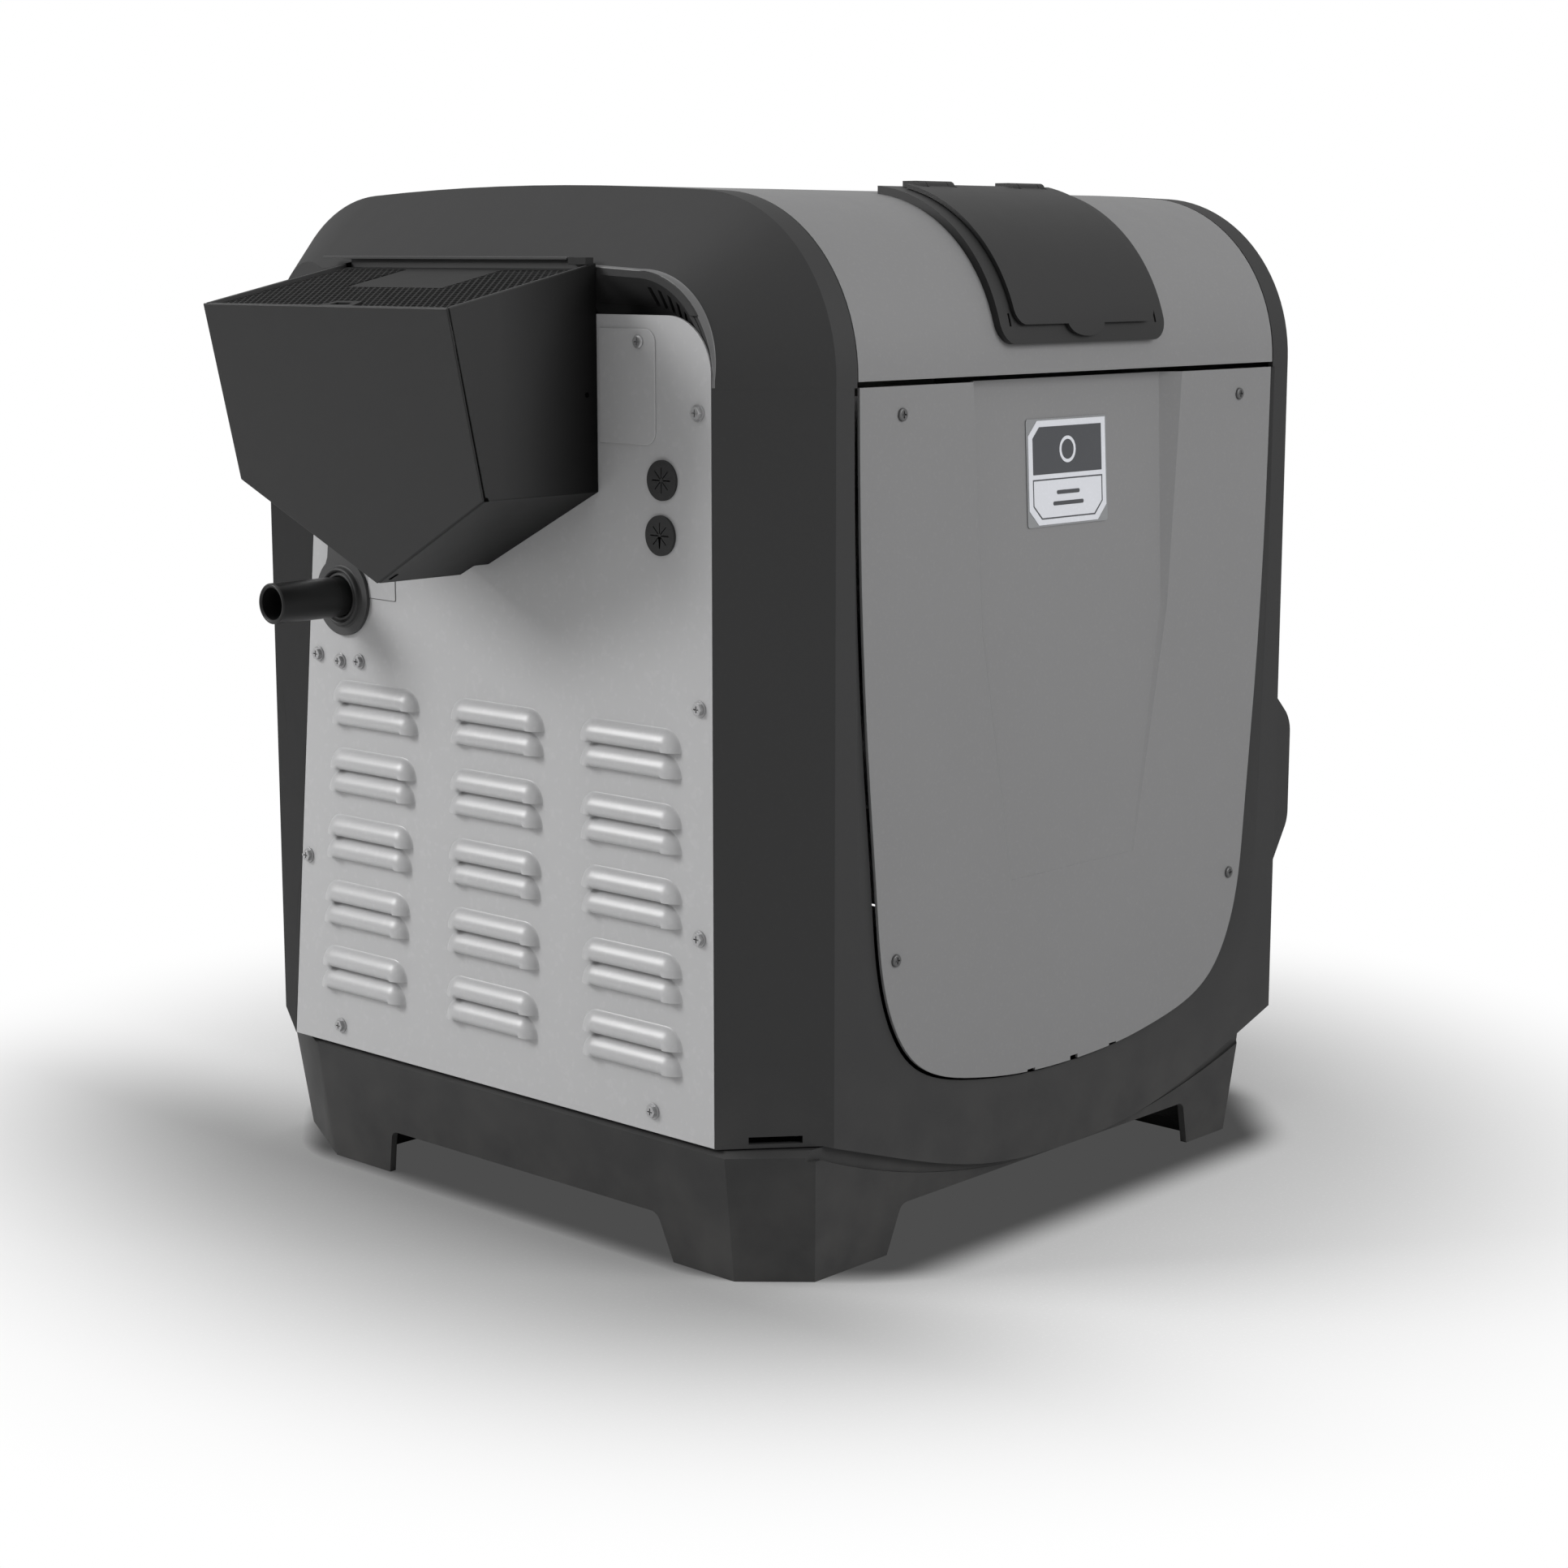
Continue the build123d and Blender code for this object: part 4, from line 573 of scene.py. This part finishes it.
# ---------------------------------------------------------------- mouth of the left end cap
def mouth_path():
    """Points (y, z, outward y, outward z, corner) along the cap's mouth, front foot over to the rear."""
    path = [(-CORNER_Y - CORNER_R + CHAMFER, z, -1.0, 0.0, 0.0) for z in (544.0, 546.0)]
    lean = atan2(CORNER_Y, CORNER_Z - DOME_Z)
    radius = CORNER_R - CHAMFER
    for k in range(31):
        turn = pi - k / 30 * (pi / 2 - lean)
        bump = sin(k / 30 * pi)
        y, z = -CORNER_Y + radius * cos(turn), CORNER_Z + radius * sin(turn)
        path.append((y, z, cos(turn), sin(turn), bump))
    reach = DOME_R - CHAMFER
    for k in range(1, 25):
        turn = pi / 2 + lean - k / 24 * (lean + asin(116.0 / reach))
        path.append((reach * cos(turn), DOME_Z + reach * sin(turn), cos(turn), sin(turn), 0.0))
    return path


def mouth_strip(sections):
    """Strip along the mouth: sections(bump) gives its (x, outward offset) profile."""
    path = mouth_path()
    verts = []
    for y, z, out_y, out_z, bump in path:
        verts += [(x, y + s * out_y, z + s * out_z) for x, s in sections(bump)]
    return verts, grid_faces(len(path), len(verts) // len(path))


def lip_sections(bump):
    """Profile of the mouth's lip, widest round the corner; its lighter colour is a painted highlight."""
    wide = 0.9 + 2.6 * bump
    face = -HALF_W + wide
    return [(face + 0.5, wide + 0.4), (face - 0.35, wide + 0.1), (face - 1.0, wide - 0.9),
            (-HALF_W + wide * 0.45 - 0.4, wide * 0.42), (-HALF_W + 0.7, 0.1), (-HALF_W + 1.8, -0.8),
            (-HALF_W + 4.0, -1.2)]


def throat_sections(bump):
    """Profile of the throat's wall, running in and down behind the sheet."""
    return [(-HALF_W + 3.0, -1.0), (-HALF_W + 14.0, -12.0), (-HALF_W + 20.0, -48.0)]


# the lip's light grey is a painted highlight on the cap's rounded mouth edge
lip = from_lists("cap_mouth_lip", *mouth_strip(lip_sections))
as_piece("cap_mouth_lip", lip, "dark_trim", "cabinet", material=LIP_PAINTED_HIGHLIGHT, smooth=60)
# throat wall in the darker, duller copy of the trim: painted shade
throat = from_lists("cap_throat", *mouth_strip(throat_sections))
as_piece("cap_throat", throat, "dark_trim", "cabinet", material=THROAT_PAINTED_SHADE, smooth=60)
# throat slots as thin near-black plates, painted shade, with no holes cut
slot_parts = []
for y in (-84.0, -49.0, -14.0):
    arch = DOME_Z + sqrt((DOME_R - CHAMFER) ** 2 - y**2)
    loop = [(-HALF_W + 13.6, y + 3, arch - 14), (-HALF_W + 13.6, y - 3.5, arch - 14),
            (-HALF_W + 18.0, y - 23.5, arch - 41), (-HALF_W + 18.0, y - 17, arch - 41)]
    slot_parts.append(prism(loop, (-0.4, 0, -0.1)))
throat_slots = from_lists("cap_throat_slots", *joined(slot_parts))
as_piece("cap_throat_slots", throat_slots, "dark_trim", "cabinet", material=HOLE_PAINTED_SHADE, smooth=0)


# ---------------------------------------------------------------- exhaust hood
def bar(start, end, across, up):
    """Square-edged bar from start to end, of the size of the two vectors across and up."""
    a, b, s, u = Vector(start), Vector(end), Vector(across), Vector(up)
    return prism([a, a + s, a + s + u, a + u], b - a)


def rake_x(z, back=0.0):
    """X of the hood's raked face at height z, moved back toward the cabinet."""
    return -HOOD_REACH + (TOP_Z - z) * 0.2239 + back


def pitch_z(x):
    """Height of the hood's pitched top at x."""
    return TOP_Z + (x + HOOD_REACH) * 0.2121


behind_panel = -HALF_W - 0.2
notch_x = -HALF_W - NOTCH_DEEP
top_x = rake_x(TOP_Z, FACE_LAP)
wall_points = {
    "near_top_panel": (behind_panel, NEAR, pitch_z(-HALF_W)),
    "near_top_face": (top_x, NEAR, pitch_z(top_x)),
    "near_low_face": (rake_x(SIDE_NEAR_Z, FACE_LAP + FACE_RELIEF), NEAR, SIDE_NEAR_Z),
    "near_low_panel": (behind_panel, NEAR, SIDE_NEAR_Z),
    "near_notch": (behind_panel, -14.3, NOTCH_Z),
    "near_step": (notch_x, -14.3, NOTCH_Z),
    "tip_step": (notch_x, TIP_Y, TIP_Z),
    "tip_face": (rake_x(TIP_Z, FACE_LAP), TIP_Y, TIP_Z),
    "far_step": (notch_x, 11.3, NOTCH_Z),
    "far_notch": (behind_panel, 11.3, NOTCH_Z),
    "far_low_panel": (behind_panel, FAR, SIDE_FAR_Z),
    "far_low_face": (rake_x(SIDE_FAR_Z, FACE_LAP), FAR, SIDE_FAR_Z),
    "far_top_face": (top_x, FAR, pitch_z(top_x)),
    "far_top_panel": (behind_panel, FAR, pitch_z(-HALF_W)),
}
walls = [
    ["near_top_panel", "near_top_face", "near_low_face", "near_low_panel"],
    ["near_low_panel", "near_low_face", "tip_face", "tip_step", "near_step", "near_notch"],
    ["far_low_panel", "far_notch", "far_step", "tip_step", "tip_face", "far_low_face"],
    ["far_top_face", "far_top_panel", "far_low_panel", "far_low_face"],
]
order = list(wall_points)
wall_faces = [[order.index(point) for point in wall] for wall in walls]
hood_mesh = from_lists("hood_walls", list(wall_points.values()), wall_faces)
hood = as_piece("hood_walls", hood_mesh, "hood_paint", "cabinet", ("exhaust_hood",), HOOD_WALLS, smooth=30)
thickened(hood, HOOD_SHEET)
bevelled(hood, 0.9, 3, 20)


def hood_recesses():
    """The drain slot beside the tip, the relief at the near corner and the small hole in the near wall, as
    thin near-black plates: painted shade.
    """
    slope = Vector((0, TIP_Y - NEAR, TIP_Z - SIDE_NEAR_Z)).normalized()
    outward = Vector((0, slope.z, -slope.y))
    half = louvre_outline(0, 0, 9.0, 1.2, 4)
    slot = [Vector(DRAIN_SLOT) + slope * u + Vector((v, 0, 0)) for u, v in half + [(-u, -v) for u, v in half]]
    x = rake_x(SIDE_NEAR_Z) + 1.2
    outline = [(x, -0.4), (x + 3.4, -0.4), (x + 2.6, 1.8), (x, 2.2)]
    corner = [(x, NEAR, SIDE_NEAR_Z + rise) for x, rise in outline]
    hole = [(x, NEAR, z) for x, z in circle(*SIDE_HOLE, 1.6, 20)]
    return joined([prism(slot, outward * 0.1), prism(corner, (0, -0.15, 0)), prism(hole, (0, -0.12, 0))])


recesses = from_lists("hood_recesses", *hood_recesses())
as_piece("hood_recesses", recesses, "hood_paint", "cabinet", material=HOLE_PAINTED_SHADE, smooth=0)
face_loop = [
    (rake_x(TOP_Z), FAR, TOP_Z), (rake_x(TOP_Z), NEAR, TOP_Z), (rake_x(SIDE_NEAR_Z), NEAR, SIDE_NEAR_Z),
    (rake_x(TIP_Z), TIP_Y, TIP_Z), (rake_x(SIDE_FAR_Z), FAR, SIDE_FAR_Z)]
face_depth = (HOOD_SHEET * 0.9756, 0, HOOD_SHEET * 0.2184)
face_mesh = from_lists("hood_face", *prism(face_loop, face_depth))
face = as_piece("hood_face", face_mesh, "hood_paint", "cabinet", smooth=30)
bevelled(face, 0.8, 3)


def rim_bars():
    """Hems folded down inside the hood's open top, and the bar across its back."""
    hem = 1.3
    down = (0, 0, -7.0)
    parts = []
    for y, turn in ((NEAR + HOOD_SHEET, 1), (FAR - HOOD_SHEET, -1)):
        start = (rake_x(TOP_Z) + 3.4, y, pitch_z(rake_x(TOP_Z) + 3.4))
        end = (-HALF_W - 6, y, pitch_z(-HALF_W - 6))
        parts.append(bar(start, end, (0, turn * hem, 0), down))
    x = rake_x(TOP_Z) + 1.7
    level = pitch_z(x) - 0.2
    parts.append(bar((x, NEAR + 3, level), (x, FAR - 3, level), (hem + 0.6, 0, 0.3), down))
    parts.append(bar((-HALF_W - 6.4, -96, 616.6), (-HALF_W - 6.4, 134, 616.6), (6.2, 0, 0), (0, 0, 2.1)))
    parts.append(bar((-HALF_W - 1.2, -112, 606.0), (-HALF_W - 1.2, 112, 606.0), (1.0, 0, 0), (0, 0, 11.0)))
    return joined(parts)


rim_mesh = from_lists("hood_rims", *rim_bars())
# hems and bars in the lighter copy of the hood paint: painted highlight
rims = as_piece("hood_rims", rim_mesh, "hood_paint", "cabinet", material=HOOD_RIM_PAINTED_HIGHLIGHT, smooth=30)
bevelled(rims, 0.4)


def mesh_lattice(cell, strut, u_range, v_range, keep):
    """Honeycomb of open cells: points and quads around each cell whose centre passes keep."""
    verts, faces = [], []
    ring = [(0.5, 0.27), (0, 0.56), (-0.5, 0.27), (-0.5, -0.27), (0, -0.56), (0.5, -0.27)]
    pitch_u, pitch_v = cell, cell * 0.62
    outer = (pitch_u, pitch_v * 1.2)
    inner = (outer[0] - strut * 1.2, outer[1] - strut * 1.4)
    row = 0
    v = v_range[0]
    while v <= v_range[1]:
        u = u_range[0] + (row % 2) * pitch_u / 2
        while u <= u_range[1]:
            if keep(u, v):
                start = len(verts)
                for scale_u, scale_v in (outer, inner):
                    verts += [(u + a * scale_u, v + b * scale_v) for a, b in ring]
                for k in range(6):
                    n = (k + 1) % 6
                    faces.append([start + k, start + n, start + 6 + n, start + 6 + k])
            u += pitch_u
        v += pitch_v
        row += 1
    return verts, faces


def on_pitch(u, v, w):
    """Point on the grille plane: u along Y, v up the pitch from the front edge, w above the plane."""
    return (-HOOD_REACH + v * 0.9782 - w * 0.2075, u, TOP_Z + v * 0.2075 + w * 0.9782)


def open_cell(u, v):
    """True where the mesh is open, that is outside the blank plate."""
    return not (LABEL_LEFT - 1 < u < LABEL_RIGHT + 1 and v > LABEL_FRONT - 1)


def grille_frame():
    """The grille's four edge strips, its blank plate, its finger tab and the end of the hood's back bar."""
    side, front, back = GRILLE_HALF - 3.5, GRILLE_FRONT + 3.5, GRILLE_BACK - 5
    strips = [
        oblong(-GRILLE_HALF, GRILLE_FRONT, GRILLE_HALF, front),
        oblong(-GRILLE_HALF, back, GRILLE_HALF, GRILLE_BACK),
        oblong(-GRILLE_HALF, front, -side, back),
        oblong(side, front, GRILLE_HALF, back),
        oblong(LABEL_LEFT, LABEL_FRONT, LABEL_RIGHT, back + 0.5),
    ]
    thickness = Vector(on_pitch(0, 0, 1.0)) - Vector(on_pitch(0, 0, 0))
    bar_end = -HALF_W - 6.6
    parts = [bar((bar_end, -112.5, 614.0), (bar_end, -97, 614.0), (6.3, 0, 0), (0, 0, 4.2))]
    parts += [prism([on_pitch(u, v, -3.2) for u, v in strip], thickness) for strip in strips]
    tab = rounded([(-24, 4.5), (8, 4.5), (4, 17), (-20, 17)], [0, 0, 3, 3], 4)
    hole = rounded([(-17, 8), (1, 8), (-1, 13.5), (-15, 13.5)], [1.5] * 4, 4)
    parts.append(flat_plate("grille_tab", tab, [hole], lambda u, v, w: on_pitch(u, v, w - 1.6), 1.4))
    return joined(parts)


flat_verts, flat_faces = mesh_lattice(5.4, 0.72, (-108, 107), (7, 110), open_cell)
grille_mesh = from_lists("grille_mesh", [on_pitch(u, v, -2.4) for u, v in flat_verts], flat_faces)
grille = as_piece("grille_mesh", grille_mesh, "hood_paint", "cabinet", ("hood_grille",), HOOD_MESH, smooth=0)
thickened(grille, 0.35)
frame_mesh = from_lists("grille_frame", *grille_frame())
frame_bits = as_piece("grille_frame", frame_mesh, "hood_paint", "cabinet", material=HOOD_MESH, smooth=30)
bevelled(frame_bits, 0.25)


# ---------------------------------------------------------------- gas grommet and blank tag
def grommet_outline():
    """Outline of the gas grommet's flange: a disc with a tab standing up behind the hood."""
    turns = [radians(turn) for turn in range(128, 413, 5)]
    disc = [(26 * cos(turn), 26 * sin(turn)) for turn in turns]
    tab = [(15, 23), (15, 34), (13, 38), (9, 40), (-7, 40), (-11, 38), (-13, 34), (-14, 25)]
    return [(u - GAS_Y, v + GAS_Z) for u, v in disc + tab]


bore = circle(-GAS_Y, GAS_Z, 14.2, 48)
flange = flat_plate("gas_flange", grommet_outline(), [bore], lambda u, v, w: left_side(u, v, w + 1.4), 2.6)
flange_mesh = from_lists("gas_grommet_flange", *flange)
flange_piece = as_piece("gas_grommet_flange", flange_mesh, "black_rubber", "cabinet", ("gas_grommet",),
                        FLANGE_RUBBER, smooth=40)
bevelled(flange_piece, 1.0, 3)
ring_profile = [(-290.8, 13.1), (-294.0, 13.1), (-295.2, 13.3), (-295.9, 14.0), (-296.0, 14.8),
                (-295.6, 15.4), (-294.9, 15.8), (-294.8, 16.2), (-295.6, 16.6), (-296.6, 17.1),
                (-296.9, 17.9), (-296.5, 18.8), (-295.4, 19.3), (-294.3, 19.6), (-293.8, 20.2),
                (-293.7, 20.8), (-293.2, 21.0), (-290.8, 21.0)]
ring = from_lists("gas_grommet_ring", *tube_ring(ring_profile, (GAS_Y, GAS_Z), 72))
as_piece("gas_grommet_ring", ring, "black_rubber", "cabinet", smooth=60)
tag_loop = rounded([(-104, 398), (-77, 397.6), (-77, 414), (-104, 414)], [1] * 4, 3)
tag = flat_plate("blank_tag", tag_loop, [], lambda u, v, w: left_side(u, v, w + 0.2), 0.4)
as_piece("blank_tag", from_lists("blank_tag", *tag), "light_sheet", "cabinet", smooth=30)
line_loop = rounded([(-104.5, 397.5), (-76.5, 397.1), (-76.5, 414.5), (-104.5, 414.5)], [1.3] * 4, 3)
line = flat_plate("tag_outline", line_loop, [tag_loop], lambda u, v, w: left_side(u, v, w + 0.15), 0.3)
outline = from_lists("tag_outline", *line)
as_piece("tag_outline", outline, "light_sheet", "cabinet", material=TAG_LINE, smooth=30)


# ---------------------------------------------------------------- badge
def on_badge(u, v, w):
    """Point on the badge: u to the right, v up, w out of the seat."""
    return (BADGE_X + u, -HALF_D + BADGE_SEAT - w + v * BADGE_TILT, BADGE_Z + v + w * BADGE_TILT)


def badge_layer(name, outline, holes, bottom, top, replaces=(), material=None):
    """A printed layer of the badge, between two heights above the seat."""
    mid = (bottom + top) / 2
    layer = flat_plate(name, outline, holes, lambda u, v, w: on_badge(u, v, w + mid), top - bottom)
    as_piece(name, from_lists(name, *layer), "badge_face", "cabinet", replaces, material, smooth=30)


plate = rounded(oblong(-42, -34.2, 42, 34.2), [2] * 4, 4)
badge_layer("badge_plate", plate, [], 0.0, 0.6, ("badge",), SILVER_FILM)
border = [(-31, -33), (31, -33), (40.5, -23.5), (40.5, 33), (-31, 33), (-40.5, 23.5), (-40.5, -23.5)]
badge_layer("badge_border", border, [], 0.6, 0.9)
field = [(-36, -1), (36, -1), (36, 29), (-29, 29), (-36, 22)]
badge_layer("badge_field", field, [], 0.9, 1.05, material=DARK_FILM)
inner = [(-28, -29.5), (28, -29.5), (36.5, -21), (36.5, -4), (-36.5, -4), (-36.5, -21)]
inner_hole = [(-27.4, -28.6), (27.4, -28.6), (35.6, -20.6), (35.6, -4.9), (-35.6, -4.9), (-35.6, -20.6)]
badge_layer("badge_line", inner, [inner_hole], 0.9, 1.0, material=DARK_FILM)
badge_layer("badge_mark", circle(0, 14, 8.5, 48), [circle(0, 14, 6.4, 48)], 1.05, 1.15)
for index, (half, level) in enumerate(((12, -13), (16, -20))):
    stripe = rounded(oblong(-half, level - 1.3, half, level + 1.3), [1.2] * 4, 4)
    badge_layer(f"badge_stripe_{index + 1}", stripe, [], 0.9, 1.0, material=DARK_FILM)


# ---------------------------------------------------------------- studio and camera
def area_light(name, place, target, size, power):
    """Square soft box aimed at a point."""
    data = bpy.data.lights.new(name, "AREA")
    data.size = size
    data.energy = power
    light = bpy.data.objects.new(name, data)
    bpy.context.scene.collection.objects.link(light)
    light.location = place
    light.rotation_euler = (Vector(target) - Vector(place)).to_track_quat("-Z", "Y").to_euler()


def floor_shade(nodes):
    """Strength of the soft contact shade: under the footprint, just past it, and out to the left."""
    axes = nodes.axes()
    over = {axis: nodes.maths("ABSOLUTE", axes[axis]) for axis in ("X", "Y")}
    past = []
    for axis in ("X", "Y"):
        beyond = nodes.maths("MAXIMUM", nodes.maths("SUBTRACT", over[axis], FOOTPRINT), 0.0)
        past.append(nodes.maths("POWER", beyond, 2.0))
    reach = nodes.maths("SQRT", nodes.maths("ADD", *past))
    across = nodes.maths("ADD", over["X"], over["Y"])
    corner = 2 * FOOTPRINT
    near = nodes.maths("MULTIPLY", nodes.remap(reach, 0.0, 0.045, 1.0, 0.0, "SMOOTHSTEP"),
                       nodes.remap(across, corner - 0.075, corner - 0.015, 1.0, 0.0, "SMOOTHSTEP"))
    side = nodes.maths("MULTIPLY", nodes.remap(axes["X"], -0.31, -0.15, 0.52, 0.0, "SMOOTHSTEP"),
                       nodes.remap(axes["X"], -0.64, -0.30, 0.0, 1.0))
    side = nodes.maths("MULTIPLY", side, nodes.remap(axes["Y"], -0.55, -0.20, 0.3, 1.0, "SMOOTHSTEP"))
    return nodes.maths("MAXIMUM", near, side)


def floor_finish():
    """Matt white floor with a contact shade, fading to plain white farther out, as on a lit sweep."""
    mat = surface("studio_floor", (FLOOR_WHITE,) * 3, 0.8, mottle=0.005, grain=0.02, specular=0.0)
    nodes = Nodes(mat.node_tree)
    lit = mat.node_tree.nodes["Principled BSDF"].outputs["BSDF"]
    seen = nodes.seen()
    shaded = nodes.blend(nodes.maths("MULTIPLY", floor_shade(nodes), seen), lit, nodes.glow(SHADE_LEVEL))
    coords = nodes.add("TexCoord")
    reach = nodes.add("VectorMath", operation="LENGTH")
    nodes.feed(reach.inputs[0], coords.outputs["Object"])
    fade = nodes.remap(reach.outputs["Value"], *FLOOR_FADE, 0.0, 1.0, "SMOOTHSTEP")
    swept = nodes.blend(nodes.maths("MULTIPLY", fade, seen), shaded, nodes.glow(1.0))
    nodes.feed(mat.node_tree.nodes["Material Output"].inputs["Surface"], swept)
    return mat


def studio():
    """Floor, a white world that is dimmer as a light than it looks, and the soft boxes."""
    lowest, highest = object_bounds()
    centre = (lowest + highest) / 2
    bpy.ops.mesh.primitive_plane_add(size=60, location=(0, 0, lowest.z))
    floor = bpy.context.object
    floor.name = "studio_floor"
    floor.data.materials.append(floor_finish())
    floor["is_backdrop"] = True
    world = bpy.data.worlds.new("studio")
    bpy.context.scene.world = world
    world.use_nodes = True
    nodes = Nodes(world.node_tree)
    background = world.node_tree.nodes["Background"].inputs
    sky = nodes.remap(nodes.axes("Generated")["Z"], 0.0, 0.8, *WORLD_LIGHT)
    level = nodes.fed("Mix", {"Factor": nodes.seen(), "A": sky, "B": 1.0}, "Result")
    nodes.feed(background["Color"], (1, 1, 1))
    nodes.feed(background["Strength"], level)
    for name, place, size, power in LIGHTS:
        area_light(name, place, centre, size, power)


def main_camera():
    data = bpy.data.cameras.new("camera")
    data.lens = CAMERA_LENS
    data.sensor_width = 36.0
    data.clip_end = 60.0
    camera = bpy.data.objects.new("camera", data)
    bpy.context.scene.collection.objects.link(camera)
    camera.location = CAMERA_PLACE
    camera.rotation_euler = [radians(turn) for turn in CAMERA_TURN]
    bpy.context.scene.camera = camera


studio()
main_camera()
bpy.context.scene.view_settings.view_transform = "Standard"
